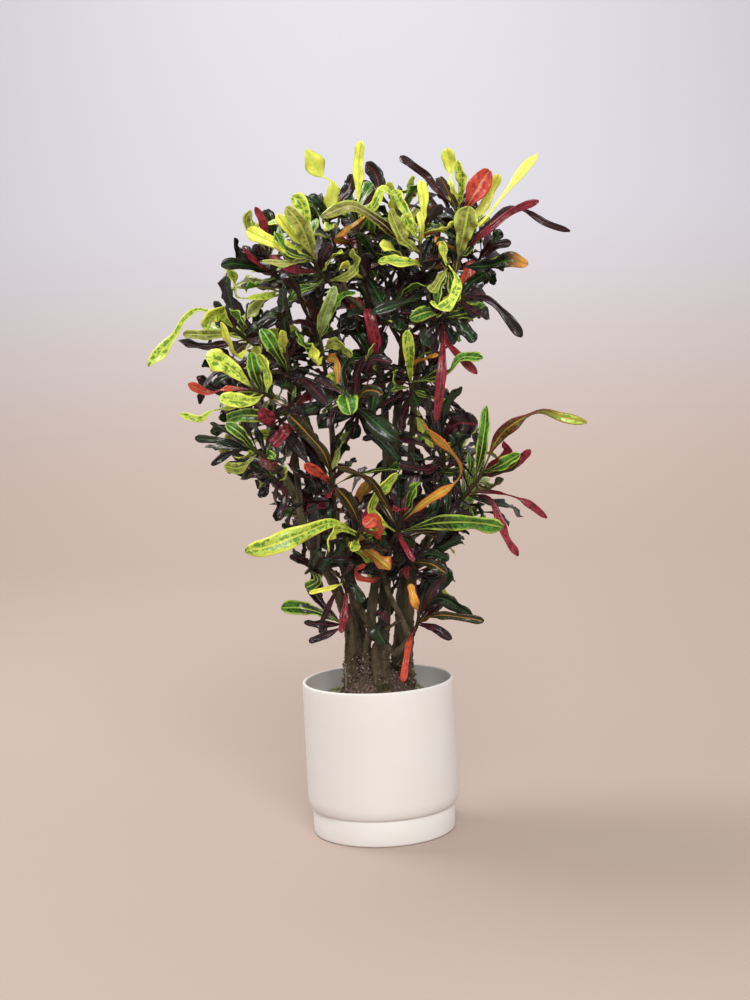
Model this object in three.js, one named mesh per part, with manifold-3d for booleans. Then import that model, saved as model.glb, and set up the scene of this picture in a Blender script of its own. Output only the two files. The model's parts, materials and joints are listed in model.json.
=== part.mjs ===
// A bushy croton in a white ceramic pot, the size of the real one.
// Millimetres, +Z up. The origin is the middle of the pot's foot, on the surface that it stands on.
//
// Seven woody stems stand in holes in the soil and fork. Each fork ends in a leafy shoot: a young stem
// with its leaves grown into it. Places on the plant are read off the photograph, as a pixel and a
// distance toward the viewer, and turned into millimetres along the sight line through that pixel.
import * as THREE from "three";
import { mergeVertices } from "three/addons/utils/BufferGeometryUtils.js";
import Module from "manifold-3d";

const wasm = await Module();
wasm.setup();

// ---- Driving dimensions -------------------------------------------------------------------------

const POT = {
  radius: 95,
  height: 192,
  wall: 4.5,
  floor: 12,
  footRadius: 89.5,
  footHeight: 32,
  grooveDepth: 1,
  shoulder: 16, // height over which the body rounds in above the foot
  edge: 3,
  sides: 24,
};

const SOIL = {
  level: 160,
  mound: 50,
  moundRadius: 64,
  moundShift: -8,
  relief: 1.6,
  gap: 0.3, // to the pot's wall
  rings: 4,
};
const PLANTED_DEPTH = 24; // of a stem's foot, below the level of the soil
const HOLE_CLEARANCE = 0.8;
const HOLE_SIDES = 12;
const JOIN_GAP = 0.3; // between the end of the wood and the leafy shoot that carries on from it

const TRUNK_SIDES = 6;
const BRANCH_SIDES = 4;
const YOUNG_SIDES = 4;
const STEM_STEP = 9;
const LEAST_STEM_STEPS = 6;
const STEM_STRIDE = 5; // a stem's solid bends at every fifth of its steps
const SHOOT_TAPER = 0.85; // a leafy shoot's radius, as a share of the radius of the wood that it grows from
const LONG_SHOOT = 60; // a leafy shoot longer than this bends twice, and a shorter one once
const SLIVER = 0.03; // edges shorter than this are merged away where pieces join

const LEAF_STEPS = 24; // a leaf is worked out at this many steps along it
const LEAF_DEPTH = 0.9; // its midrib's depth below the blade
const PETIOLE_HALF_WIDTH = 1;
const WIDTH_RIPPLE = 0.2; // how much a leaf widens and narrows along it, as a share of its width
const ROOT_OFFSET = 0.2; // a leaf's root is sunk this far from its shoot's middle line, in its radii
const ROOT_SHARES = [0.08, 0.97]; // the stretch of a shoot that the seen leaves grow from
const LEAF_SPACING = 12.8; // along a shoot, between one leaf and the next
const LEAF_LENGTH = 96;
const LEAF_HALF_WIDTH = 9;
const LEAF_GAP = 1.1; // kept between leaves that pass each other
const ROOT_ZONE = 0.22; // share of a leaf that may stand close to its own shoot
const TRIES = 24;
const GOLDEN_ANGLE = Math.PI * (3 - Math.sqrt(5));
const FULL_TURN = 2 * Math.PI;

// The ranges that a leaf's shape is drawn from: how far it is turned about its line and twists along it,
// in radians, how deep it folds and its margin waves, against its half width, and how many waves it has.
const SEEN_SHAPE = {
  turn: [-0.35, 0.35],
  twist: [-1.1, 1.1],
  fold: [0.06, 0.4],
  waves: [2, 3.6],
  waveDepth: [0.14, 0.42],
  phase: [0, FULL_TURN],
};
const FILLING_SHAPE = {
  turn: [-0.5, 0.5],
  twist: [-2.3, 2.3],
  fold: [0.08, 0.42],
  waves: [1.6, 3.2],
  waveDepth: [0.14, 0.4],
  phase: [0, FULL_TURN],
};
const PITCH = [1.45, 0.5]; // a filling leaf's angle to its shoot, low on it and at its top, in radians
const PITCH_POWER = 1.6;
const PITCH_STRAY = [-0.3, 0.3];
const AZIMUTH_STRAY = 0.28; // and its angle about it, more with each try
const SIZE_BY_TRY = [1.1, 0.72]; // a leaf is drawn smaller with each try
const SIZE_BY_PLACE = [1, 0.85]; // and the higher it stands on its shoot
const LENGTH_STRAY = [0.72, 1.2];
const WIDTH_STRAY = [0.66, 1.3];
const OVAL_SCALE = [0.82, 1.15]; // how much shorter and wider an oval is
const BEND = [-0.6, 1.3]; // of a filling leaf, downward, in radians
const SWAY = [-0.6, 0.6]; // and sideways
const CURL = [-0.8, 0.8]; // and one way and back again
const SEEN_CURL = [-8, 8]; // how far points along a seen leaf stray toward the viewer, in millimetres
const SEEN_SEED = 5000;
const FILLING_SEED = 17;
const SEED_STEPS = { seen: 61, stem: 7919, leaf: 523, attempt: 104729 };
// What a seen leaf moves nearer by, in millimetres, until it clears the leaves already there.
const DEPTH_SHIFTS = [0, 8, -8, 16, -16, 24, -24, 34, -34, 44, -44, 56, -56];

// ---- The photograph -----------------------------------------------------------------------------

// Where the camera stands, how far it is tipped and rolled, and its focal length in pixels.
const VIEW = { aside: 6.7, distance: 2100, height: 619, focal: 1694, centreU: 375, centreV: 500 };
const VIEW_PITCH = THREE.MathUtils.degToRad(5.5);
const VIEW_ROLL = THREE.MathUtils.degToRad(-2.66);

const camera = new THREE.Vector3(VIEW.aside, -VIEW.distance, VIEW.height);
const sight = new THREE.Vector3(0, Math.cos(VIEW_PITCH), -Math.sin(VIEW_PITCH));
const level = new THREE.Vector3(1, 0, 0);
const upright = level.clone().cross(sight);
const pictureRight = level.clone().applyAxisAngle(sight, -VIEW_ROLL);
const pictureUp = upright.clone().applyAxisAngle(sight, -VIEW_ROLL);

// The point seen at pixel (u, v), at `front` millimetres from the pot's axis toward the viewer.
function fromPhoto([u, v, front]) {
  const ray = sight
    .clone()
    .addScaledVector(pictureRight, (u - VIEW.centreU) / VIEW.focal)
    .addScaledVector(pictureUp, (VIEW.centreV - v) / VIEW.focal);
  return camera.clone().addScaledVector(ray, (VIEW.distance - front) / ray.y);
}

function toPhoto(point) {
  const away = point.clone().sub(camera);
  const depth = away.dot(sight);
  return [
    VIEW.centreU + (VIEW.focal * away.dot(pictureRight)) / depth,
    VIEW.centreV - (VIEW.focal * away.dot(pictureUp)) / depth,
    -point.y,
  ];
}

// Each row: name, the row it forks from, its path as [pixel u, pixel v, front], its radius at the start
// and where it turns leafy, and the length of the leafy end. Rows that fork from nothing are planted.
const STEMS = [
  ["left", null, [[352, 668, 12], [350, 630, 18], [338, 592, 24], [322, 562, 30], [309, 540, 36],
    [300, 512, 40], [291, 487, 44], [278, 466, 54], [263, 456, 64], [247, 447, 74]], 9.5, 4, 58],
  ["left_rise", "left", [[326, 570, 28], [331, 545, 12], [332, 500, 2], [333, 450, -2], [330, 410, 6],
    [326, 375, 22], [321, 345, 40], [316, 322, 52]], 4.5, 3.2, 70],
  ["left_mid", "left", [[300, 512, 40], [297, 470, 30], [292, 430, 28], [290, 400, 38], [289, 372, 54],
    [284, 345, 66]], 4, 3, 60],
  ["left_low", "left", [[296, 498, 42], [286, 486, 58], [274, 478, 74], [262, 474, 86]], 3.2, 2.6, 32],
  ["left_side", "left_mid", [[291, 412, 32], [280, 402, 58], [266, 394, 80], [250, 388, 100]], 3, 2.5, 45],
  ["left_inner", "left_mid", [[293, 436, 28], [284, 424, 58], [273, 413, 86]], 3, 2.5, 35],
  ["left_foot", "left", [[349, 634, 18], [345, 627, 46], [341, 621, 62]], 3, 2.4, 26],
  ["left_knee", "left", [[320, 559, 31], [313, 566, 52], [305, 574, 66]], 3, 2.4, 30],

  ["front", null, [[367, 670, 24], [367, 645, 26], [370, 626, 24], [358, 606, 30], [346, 575, 42],
    [339, 545, 52], [336, 515, 58], [333, 490, 64], [329, 462, 72]], 5.8, 3.3, 60],
  ["front_side", "front", [[351, 590, 35], [346, 590, 58], [341, 576, 74]], 3, 2.5, 36],
  ["front_low", "front", [[340, 556, 48], [351, 545, 78], [362, 527, 100]], 3.4, 2.8, 52],
  ["centre", "front", [[370, 628, 24], [373, 600, 14], [378, 560, 8], [383, 520, 2], [385, 480, -2],
    [386, 440, -6], [384, 400, -6], [378, 355, 0], [370, 310, 6], [363, 275, 14], [359, 240, 22],
    [357, 208, 28]], 6, 3.5, 90],
  ["centre_front", "centre", [[379, 556, 8], [388, 548, 48], [398, 530, 88], [402, 514, 100]], 4.2, 3.2, 60],
  ["centre_left", "centre", [[386, 436, -5], [368, 420, 34], [352, 408, 68], [345, 394, 82]], 3.4, 2.8, 50],
  ["centre_mid", "centre", [[384, 396, -5], [379, 384, 28], [377, 364, 58]], 3, 2.6, 42],
  ["centre_high", "centre", [[376, 342, 2], [386, 322, 16], [396, 300, 24], [404, 284, 26]], 3.2, 2.6, 60],
  ["top_left", "centre", [[371, 314, 6], [345, 295, 28], [324, 277, 52], [316, 262, 66], [306, 246, 76]],
    3.8, 3, 65],
  ["top_left_high", "top_left", [[348, 298, 26], [340, 268, 22], [333, 238, 22], [326, 214, 26]], 3, 2.6, 65],

  ["stub", null, [[382, 690, 38], [381, 668, 38], [381, 655, 38], [385, 641, 36]], 9, 12.5, 0],
  ["stub_side", "stub", [[394, 656, 38], [408, 641, 38], [404, 624, 40], [390, 596, 46], [384, 577, 58],
    [382, 564, 72]], 5, 2.8, 34],
  ["stub_low", "stub_side", [[402, 620, 40], [394, 624, 62], [386, 630, 78]], 2.6, 2.2, 24],

  ["right", null, [[407, 670, 12], [408, 640, 10], [410, 605, 6], [414, 570, 2], [424, 545, 10],
    [442, 520, 28], [458, 502, 46], [472, 487, 60], [484, 470, 70]], 8.5, 3.5, 65],
  ["right_low", "right", [[412, 634, 9], [417, 625, 34], [419, 612, 56]], 3, 2.4, 34],
  ["right_face", "right", [[413, 585, 4], [413, 575, 34], [412, 560, 66]], 3, 2.5, 40],
  ["right_mid", "right", [[440, 522, 26], [442, 492, 40], [444, 462, 54], [441, 436, 62]], 3.2, 2.8, 52],
  ["right_back", "right", [[416, 562, 3], [430, 545, -30], [448, 525, -55], [460, 510, -68]], 3.4, 2.8, 60],

  ["tall", null, [[398, 668, -18], [399, 640, -22], [402, 600, -26], [406, 560, -28], [409, 500, -20],
    [411, 450, -4], [413, 415, 14], [411, 388, 40], [408, 368, 52]], 8.5, 3, 45],
  ["tall_top", "tall", [[412, 425, 10], [418, 365, -6], [427, 338, -6], [436, 312, 2], [446, 292, 14],
    [456, 268, 28], [460, 238, 36], [458, 208, 40]], 4.5, 3.2, 95],
  ["top_centre", "tall_top", [[433, 320, 0], [427, 290, 18], [421, 262, 36], [420, 232, 46]], 3.5, 2.8, 75],
  ["right_front", "tall_top", [[444, 296, 12], [449, 284, 48], [448, 264, 80]], 3, 2.6, 42],
  ["right_drop", "tall_top", [[438, 308, 4], [453, 303, 32], [468, 293, 52]], 3, 2.6, 42],
  ["right_hang", "tall_top", [[430, 330, -3], [437, 322, 34], [445, 314, 62]], 3, 2.5, 34],
  ["right_edge", "tall_top", [[448, 287, 16], [464, 275, -10], [478, 262, -28], [486, 246, -36]], 3, 2.6, 58],

  ["back_left", null, [[362, 666, -22], [361, 640, -28], [355, 600, -36], [343, 550, -46], [330, 500, -54],
    [316, 450, -56], [300, 405, -48], [283, 370, -30], [262, 350, -6], [245, 338, 16], [229, 324, 34]],
    8.5, 3.4, 75],
  ["back_left_top", "back_left", [[298, 398, -47], [295, 352, -34], [289, 315, -18], [281, 288, 6],
    [272, 265, 26], [264, 243, 36]], 3.8, 3, 78],
  ["back_left_side", "back_left", [[316, 450, -56], [292, 438, -82], [268, 425, -98], [248, 412, -108]],
    3.4, 2.8, 62],
  ["back_left_high", "back_left_top", [[295, 354, -35], [308, 318, -68], [314, 285, -90], [316, 255, -98]],
    3.2, 2.8, 72],
  ["back_left_low", "back_left", [[341, 546, -47], [322, 530, -76], [306, 514, -96], [294, 498, -108]],
    3.2, 2.8, 58],
  ["back_left_out", "back_left", [[284, 371, -30], [262, 372, -62], [240, 366, -84]], 3, 2.6, 52],

  ["back", null, [[382, 666, -38], [384, 620, -48], [386, 560, -62], [390, 500, -76], [395, 440, -84],
    [400, 380, -86], [404, 320, -80], [400, 275, -68], [396, 240, -58], [393, 205, -52]], 9, 3.5, 90],
  ["back_right_high", "back", [[400, 384, -86], [425, 350, -110], [444, 320, -128], [454, 298, -136]],
    3.5, 3, 70],
  ["back_right_mid", "back", [[395, 446, -84], [425, 422, -112], [448, 404, -134], [462, 388, -144]],
    3.5, 3, 70],
  ["back_left_mid", "back", [[394, 450, -83], [368, 412, -116], [352, 386, -138], [344, 364, -148]],
    3.5, 3, 70],
  ["back_low", "back", [[384, 556, -63], [367, 530, -98], [356, 510, -122], [350, 492, -134]], 3.3, 2.8, 66],
  ["back_right_low", "back", [[390, 504, -75], [414, 482, -108], [432, 466, -130], [446, 450, -142]],
    3.3, 2.8, 66],
  ["back_top", "back", [[404, 322, -80], [378, 292, -104], [364, 266, -120], [358, 244, -126]], 3.4, 2.8, 70],
  ["back_top_right", "back", [[403, 300, -76], [428, 276, -90], [446, 250, -98], [452, 228, -102]],
    3.4, 2.8, 70],
  ["back_foot", "back", [[381, 602, -52], [394, 588, -84], [402, 572, -106]], 3, 2.6, 46],
  ["back_centre", "back", [[403, 346, -84], [388, 322, -108], [374, 306, -122], [366, 292, -128]],
    3.2, 2.7, 62],
  ["back_mid", "back", [[397, 420, -85], [410, 396, -64], [424, 376, -52], [432, 362, -46]], 3.2, 2.7, 58],
];

// The leaves that the photograph shows one by one. Each row: its shoot, its finish, its outline, its
// width, how far its tip comes toward the viewer, and the pixels along it from its root to its tip.
const SEEN_LEAVES = [
  ["top_left_high", "yellow", "spoon", 24, 10, [[338, 208], [333, 186], [321, 175], [312, 160], [306, 150]]],
  ["centre", "yellow", "strap", 13, 14, [[358, 200], [359, 180], [359, 160], [362, 141]]],
  ["centre", "maroon", "strap", 15, -6, [[364, 208], [378, 190], [376, 174], [366, 163]]],
  ["top_left_high", "maroon", "strap", 13, -10, [[340, 202], [349, 188], [351, 174]]],
  ["tall_top", "maroon", "strap", 10, 6, [[450, 206], [437, 190], [426, 176], [412, 165], [400, 157]]],
  ["top_centre", "blush", "strap", 12, 60,
    [[412, 256], [398, 238], [383, 224], [364, 211], [348, 206], [321, 217]]],
  ["top_left", "olive", "strap", 19, 34, [[311, 264], [300, 224], [286, 207]]],
  ["top_left", "lime", "oval", 17, 18, [[306, 232], [303, 206], [292, 196]]],
  ["top_left_high", "dark", "strap", 11, 8, [[329, 214], [318, 202], [308, 197]]],
  ["centre", "orange", "strap", 13, 44, [[352, 244], [336, 238], [348, 227], [365, 216]]],
  ["top_left", "olive", "oval", 18, 40, [[332, 278], [348, 276], [357, 266], [354, 249]]],
  ["top_centre", "lime", "oval", 17, 44, [[424, 268], [415, 263], [403, 263], [378, 262]]],
  ["centre", "lime", "strap", 12, 20, [[364, 218], [374, 206], [382, 190], [392, 194]]],
  ["top_centre", "lime", "oval", 14, -4, [[416, 226], [404, 208], [393, 190]]],
  ["top_centre", "yellow", "strap", 11, 10, [[421, 226], [424, 206], [421, 180]]],
  ["top_centre", "olive", "strap", 19, 36, [[417, 252], [402, 238], [389, 209]]],
  ["top_centre", "yellow", "strap", 7, 20, [[422, 244], [422, 228], [419, 212]]],
  ["top_centre", "lime", "oval", 12, 26, [[418, 242], [412, 230], [403, 214]]],
  ["top_left", "crimson", "strap", 11, 24, [[313, 276], [290, 268], [270, 256]]],
  ["top_left", "maroon", "strap", 13, 34, [[318, 272], [323, 258], [331, 243]]],
  ["back_left_top", "crimson", "strap", 9, 20, [[272, 252], [264, 226], [255, 207]]],
  ["back_left_top", "dark", "oval", 13, 6, [[274, 258], [272, 230], [264, 210]]],
  ["top_left", "yellow", "strap", 15, 10, [[308, 262], [272, 242], [247, 230]]],
  ["back_left_top", "purple", "strap", 12, 30, [[270, 278], [250, 262], [238, 252], [234, 238]]],
  ["top_left", "green", "strap", 15, 34, [[312, 258], [296, 256], [283, 248], [274, 232]]],
  ["top_left", "yellow", "strap", 10, 46, [[306, 250], [290, 232], [277, 214]]],
  ["top_left", "lime", "oval", 12, 30, [[304, 240], [288, 222], [266, 224]]],
  ["back_left_top", "olive", "oval", 12, 34, [[266, 250], [256, 238], [246, 222], [250, 210]]],
  ["top_left", "blush", "strap", 10, 56, [[308, 262], [286, 264], [262, 262]]],
  ["back_left_top", "dark", "strap", 14, 16, [[268, 274], [238, 264], [221, 266]]],
  ["back_left_top", "lime", "spoon", 13, 50, [[268, 300], [240, 298], [233, 282], [226, 264]]],
  ["back_left_top", "crimson", "strap", 6, 36, [[268, 280], [256, 262], [243, 248]]],
  ["tall_top", "yellow", "spoon", 18, 2, [[457, 206], [451, 186], [451, 168], [447, 148]]],
  ["tall_top", "lime", "strap", 11, 16, [[458, 212], [462, 184], [458, 160]]],
  ["tall_top", "coral", "oval", 24, 26, [[460, 222], [470, 202], [480, 184], [489, 170]]],
  ["tall_top", "yellow", "strap", 12, 10, [[462, 226], [481, 210], [490, 192], [499, 174]]],
  ["tall_top", "yellow", "stalked", 12, -8, [[462, 238], [482, 222], [500, 200], [517, 178], [538, 154]]],
  ["tall_top", "maroon", "waisted", 11, 18,
    [[464, 250], [489, 226], [511, 209], [526, 211], [546, 223], [570, 231]]],
  ["tall_top", "crimson", "strap", 9, 0, [[464, 254], [486, 232], [508, 214], [524, 206], [539, 201]]],
  ["tall_top", "olive", "oval", 25, 40, [[463, 262], [463, 236], [469, 206]]],
  ["right_edge", "maroon", "strap", 12, 34, [[474, 262], [490, 248], [511, 242]]],
  ["right_edge", "dark", "strap", 12, 20, [[480, 256], [492, 244], [501, 230]]],
  ["tall_top", "tipped", "strap", 17, 44, [[459, 268], [487, 266], [508, 261], [528, 264]]],
  ["tall_top", "ember", "strap", 11, 30, [[458, 214], [450, 196], [440, 177]]],
  ["right_front", "lime", "strap", 14, 54, [[449, 263], [457, 280], [453, 298], [441, 309], [430, 302]]],
  ["right_front", "lime", "oval", 9, 20, [[448, 270], [444, 256], [443, 241]]],
  ["right_drop", "dark", "strap", 15, 20, [[460, 298], [472, 282], [486, 273]]],
  ["right_drop", "purple", "strap", 11, 26, [[466, 294], [489, 300], [507, 317], [522, 337]]],
  ["right_drop", "maroon", "oval", 20, 40, [[460, 298], [468, 308], [487, 320]]],
  ["right_hang", "dark", "strap", 15, 18, [[442, 316], [458, 324], [476, 341]]],
  ["right_hang", "crimson", "strap", 9, 36, [[442, 318], [446, 340], [459, 356], [477, 374]]],
  ["right_hang", "crimson", "strap", 10, 66, [[440, 316], [443, 330], [442, 368], [436, 422]]],
  ["tall", "green", "waisted", 17, 50, [[411, 382], [433, 378], [449, 372], [462, 358], [483, 358]]],
  ["tall", "lime", "strap", 12, 26, [[410, 386], [409, 352], [407, 330]]],
  ["tall", "green", "oval", 19, 44, [[410, 388], [394, 386], [394, 372]]],
  ["right_mid", "dark", "strap", 12, 30, [[440, 426], [446, 404], [461, 386]]],
  ["right_mid", "maroon", "oval", 24, 34, [[442, 440], [456, 424], [478, 424]]],
  ["right", "green", "strap", 13, 36, [[475, 483], [483, 442], [487, 406]]],
  ["right", "sunset", "waisted", 13, 30,
    [[484, 472], [497, 440], [513, 424], [540, 411], [562, 417], [587, 422]]],
  ["right", "crimson", "strap", 10, 50, [[484, 474], [496, 462], [508, 452], [504, 441]]],
  ["right", "ember", "strap", 10, 44, [[480, 478], [496, 471], [512, 467], [520, 458]]],
  ["right", "green", "oval", 13, 30, [[484, 474], [500, 466], [520, 454]]],
  ["right", "crimson", "spoon", 11, 12, [[480, 477], [509, 468], [531, 450]]],
  ["right", "ember", "strap", 15, 60, [[474, 484], [487, 490], [504, 480]]],
  ["right", "crimson", "spoon", 8, 20, [[466, 493], [492, 492], [522, 500], [547, 518]]],
  ["right", "crimson", "strap", 10, 34, [[466, 494], [490, 500], [505, 536], [518, 556]]],
  ["centre_front", "green", "strap", 19, 66, [[402, 534], [432, 524], [456, 522], [482, 523], [503, 527]]],
  ["front_low", "lime", "strap", 20, 60, [[358, 532], [332, 523], [301, 534], [270, 546], [245, 551]]],
  ["front_low", "lime", "oval", 14, 66, [[357, 536], [338, 529], [328, 538], [328, 552]]],
  ["front_low", "coral", "oval", 17, 70, [[362, 530], [382, 534], [376, 518], [364, 526]]],
  ["front_low", "ember", "strap", 14, 40, [[361, 526], [350, 504], [337, 488]]],
  ["centre_front", "ember", "strap", 9, 62, [[401, 526], [383, 499], [374, 484], [361, 474], [335, 466]]],
  ["centre_front", "orange", "spoon", 14, 74,
    [[403, 524], [425, 503], [456, 482], [461, 466], [449, 449], [423, 424]]],
  ["centre_front", "lime", "strap", 15, 24, [[394, 532], [372, 514], [376, 495], [397, 473]]],
  ["right_mid", "maroon", "strap", 13, 40, [[443, 462], [426, 470], [398, 464]]],
  ["front", "ember", "strap", 15, 30, [[331, 478], [325, 455], [308, 434], [288, 414]]],
  ["front", "coral", "strap", 11, 54, [[332, 486], [320, 474], [304, 464]]],
  ["left", "dark", "strap", 10, 6, [[250, 450], [220, 441], [195, 438]]],
  ["left", "dark", "strap", 6, -10, [[248, 448], [231, 434], [210, 423]]],
  ["left", "purple", "strap", 8, 20, [[248, 448], [228, 454], [211, 465]]],
  ["left", "olive", "oval", 14, 26, [[257, 455], [240, 468], [224, 466]]],
  ["left", "green", "strap", 12, 8, [[254, 451], [242, 435], [226, 424]]],
  ["left_inner", "crimson", "oval", 18, 16, [[276, 415], [272, 424], [262, 408]]],
  ["left_inner", "crimson", "oval", 16, 34, [[279, 420], [286, 430], [272, 446]]],
  ["left_low", "purple", "strap", 10, 18, [[268, 476], [266, 488], [260, 498]]],
  ["left_low", "maroon", "strap", 10, 16, [[276, 479], [286, 496], [279, 520]]],
  ["back_left", "lime", "stalked", 17, 36, [[230, 325], [203, 310], [186, 317], [173, 338], [149, 367]]],
  ["back_left", "lime", "oval", 22, 46, [[234, 328], [216, 312], [202, 327]]],
  ["back_left", "olive", "strap", 12, 24, [[238, 334], [210, 335], [183, 334]]],
  ["back_left", "maroon", "strap", 11, 12, [[246, 339], [207, 347], [178, 341]]],
  ["back_left", "yellow", "strap", 11, 60, [[252, 344], [238, 357], [228, 342], [221, 322]]],
  ["back_left", "green", "oval", 18, 26, [[240, 335], [244, 320], [230, 308]]],
  ["left_side", "lime", "oval", 24, 22, [[254, 390], [228, 366], [206, 358]]],
  ["left_side", "green", "strap", 15, 34, [[262, 393], [254, 372], [250, 352]]],
  ["left_side", "lime", "strap", 14, 10, [[266, 394], [268, 374], [258, 354]]],
  ["left_mid", "green", "strap", 15, 40, [[288, 372], [278, 355], [267, 337], [261, 329]]],
  ["left_mid", "yellow", "oval", 11, 24, [[285, 352], [283, 340], [282, 330]]],
  ["left_side", "coral", "spoon", 10, -4, [[254, 390], [226, 389], [209, 393], [188, 384]]],
  ["left_side", "lime", "strap", 16, 26, [[264, 394], [250, 401], [219, 399]]],
  ["left_side", "lime", "spoon", 10, 8, [[258, 394], [234, 406], [212, 411], [200, 419], [180, 414]]],
  ["left_side", "dark", "strap", 8, -20, [[252, 389], [232, 376], [213, 384]]],
  ["left_rise", "silver", "strap", 14, 62, [[320, 340], [322, 324], [328, 304], [335, 286]]],
  ["left_rise", "green", "strap", 12, 36, [[320, 342], [306, 348], [295, 331]]],
  ["left_rise", "yellow", "oval", 17, 56, [[323, 356], [314, 362], [312, 343]]],
  ["left_rise", "olive", "strap", 14, 44, [[322, 352], [336, 343], [353, 355]]],
  ["left_rise", "orange", "strap", 12, 58, [[324, 360], [336, 360], [338, 384]]],
  ["centre_left", "dark", "strap", 17, 10, [[347, 398], [342, 372], [352, 352]]],
  ["centre_left", "green", "oval", 22, 62, [[343, 386], [347, 400], [351, 415]]],
  ["centre_mid", "olive", "oval", 14, 34, [[377, 372], [368, 358], [373, 344]]],
  ["centre_mid", "maroon", "strap", 11, 46, [[377, 370], [368, 374], [372, 360], [392, 362]]],
  ["left_mid", "maroon", "strap", 15, 60, [[290, 380], [306, 382], [328, 404]]],
  ["centre_front", "crimson", "strap", 7, 60, [[400, 530], [404, 546], [414, 562]]],
  ["right_face", "ember", "strap", 12, 40, [[412, 562], [431, 564], [447, 574]]],
  ["right_face", "crimson", "strap", 8, 24, [[412, 566], [405, 571], [408, 579]]],
  ["right_face", "dark", "strap", 13, 26, [[412, 560], [430, 554], [449, 560]]],
  ["right_low", "maroon", "strap", 12, 30, [[418, 616], [431, 594], [446, 575]]],
  ["right_low", "dark", "strap", 16, 20, [[418, 616], [440, 598], [473, 616]]],
  ["right_low", "ember", "strap", 10, 44, [[418, 618], [442, 615], [467, 618], [484, 621]]],
  ["right_low", "maroon", "strap", 10, 24, [[417, 622], [432, 627], [452, 639]]],
  ["right_low", "orange", "strap", 10, 20, [[417, 612], [414, 600], [410, 584]]],
  ["right_low", "coral", "strap", 8, 8, [[416, 626], [410, 640], [406, 660], [403, 682]]],
  ["stub_side", "coral", "strap", 8, 40, [[384, 572], [374, 580], [359, 578], [355, 570], [366, 564]]],
  ["front_side", "yellow", "strap", 6, 18, [[345, 582], [333, 587], [309, 593]]],
  ["front_side", "dark", "oval", 13, 10, [[345, 580], [354, 587], [362, 603]]],
  ["stub_low", "dark", "oval", 22, 10, [[391, 624], [382, 622], [379, 632], [386, 644]]],
  ["stub_low", "maroon", "strap", 13, 6, [[390, 626], [384, 615], [376, 612]]],
  ["front_side", "crimson", "strap", 9, 20, [[345, 586], [346, 600], [341, 633]]],
  ["front_side", "maroon", "strap", 7, 8, [[343, 580], [333, 597], [320, 627]]],
  ["left_foot", "green", "strap", 16, 22, [[343, 624], [320, 613], [301, 608], [281, 608]]],
  ["left_foot", "maroon", "strap", 9, 30, [[343, 625], [324, 624], [304, 622]]],
  ["left_foot", "maroon", "strap", 9, 10, [[344, 626], [328, 634], [309, 642]]],
  ["left_knee", "green", "oval", 13, 10, [[309, 570], [318, 580], [306, 588]]],
  ["left_knee", "maroon", "strap", 10, 22, [[310, 569], [302, 560], [290, 555]]],
  ["front_side", "maroon", "strap", 8, 34, [[342, 578], [352, 560], [322, 557]]],
];

// The crown's edge in the photograph, which the leaves that fill it stay inside, and the gaps in it
// that the room shows through, as a pixel and a radius.
const CROWN_EDGE = [
  [235, 235], [255, 208], [290, 192], [322, 190], [348, 174], [381, 170], [399, 186], [421, 166], [457, 172],
  [484, 200], [503, 235], [512, 264], [490, 292], [484, 322], [470, 340], [448, 350], [443, 366], [448, 392],
  [470, 415], [484, 430], [512, 444], [524, 466], [519, 494], [532, 514], [508, 534], [468, 538], [452, 559],
  [456, 581], [452, 604], [452, 637], [413, 644], [341, 642], [310, 637], [302, 613], [304, 584], [292, 556],
  [275, 515], [259, 497], [228, 476], [200, 452], [212, 421], [193, 394], [200, 348], [200, 312], [222, 275],
  [226, 250],
];
const CROWN_GAPS = [
  [397, 354, 12], [371, 456, 12], [347, 488, 6], [330, 437, 6], [352, 344, 7], [428, 546, 5],
];
const CROWN_FRONT = 185;
const CROWN_BACK = -215;
const BARE_FROM = 585; // below this pixel row the stems show, and the leaves that fill the crown are behind

const LEAF_COLOURS = {
  dark: 0x1d2b16,
  green: 0x2f6a22,
  lime: 0xa8c41f,
  yellow: 0xe0dc3a,
  olive: 0x9a9a3c,
  maroon: 0x4a1620,
  ember: 0x6b3a1e,
  blush: 0x8a8430,
  tipped: 0x4f3a1a,
  sunset: 0xb0602a,
  purple: 0x2b1226,
  crimson: 0x9c1830,
  coral: 0xd4573f,
  orange: 0xc2692a,
  silver: 0x93a384,
};

// ---- Numbers and lines --------------------------------------------------------------------------

// A repeatable draw between 0 and 1.
function seededDraw(seed) {
  const [factor, increment, span] = [1664525, 1013904223, 2 ** 32];
  let state = seed % span;
  const draw = () => {
    state = (state * factor + increment) % span;
    return state / span;
  };
  draw();
  draw();
  draw();
  return draw;
}

const between = (low, high, share) => low + (high - low) * share;

function rise(t, start, end) {
  const x = Math.min(1, Math.max(0, (t - start) / (end - start)));
  return x * x * (3 - 2 * x);
}

// A smooth line through the points, as `steps` equal steps along it.
function evenLine(points, steps) {
  const fine = new THREE.CatmullRomCurve3(points, false, "catmullrom").getPoints(points.length * 12);
  const reach = [0];
  for (let i = 1; i < fine.length; i++) reach.push(reach[i - 1] + fine[i].distanceTo(fine[i - 1]));
  const line = [];
  let i = 1;
  for (let step = 0; step <= steps; step++) {
    const wanted = (reach[reach.length - 1] * step) / steps;
    while (i < fine.length - 1 && reach[i] < wanted) i++;
    const share = (wanted - reach[i - 1]) / (reach[i] - reach[i - 1]);
    line.push(fine[i - 1].clone().lerp(fine[i], share));
  }
  return line;
}

function lengthOf(line) {
  return line.slice(1).reduce((sum, point, i) => sum + point.distanceTo(line[i]), 0);
}

function headingAt(line, i) {
  const before = line[Math.max(0, i - 1)];
  const after = line[Math.min(line.length - 1, i + 1)];
  return after.clone().sub(before).normalize();
}

// ---- Solids -------------------------------------------------------------------------------------

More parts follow.
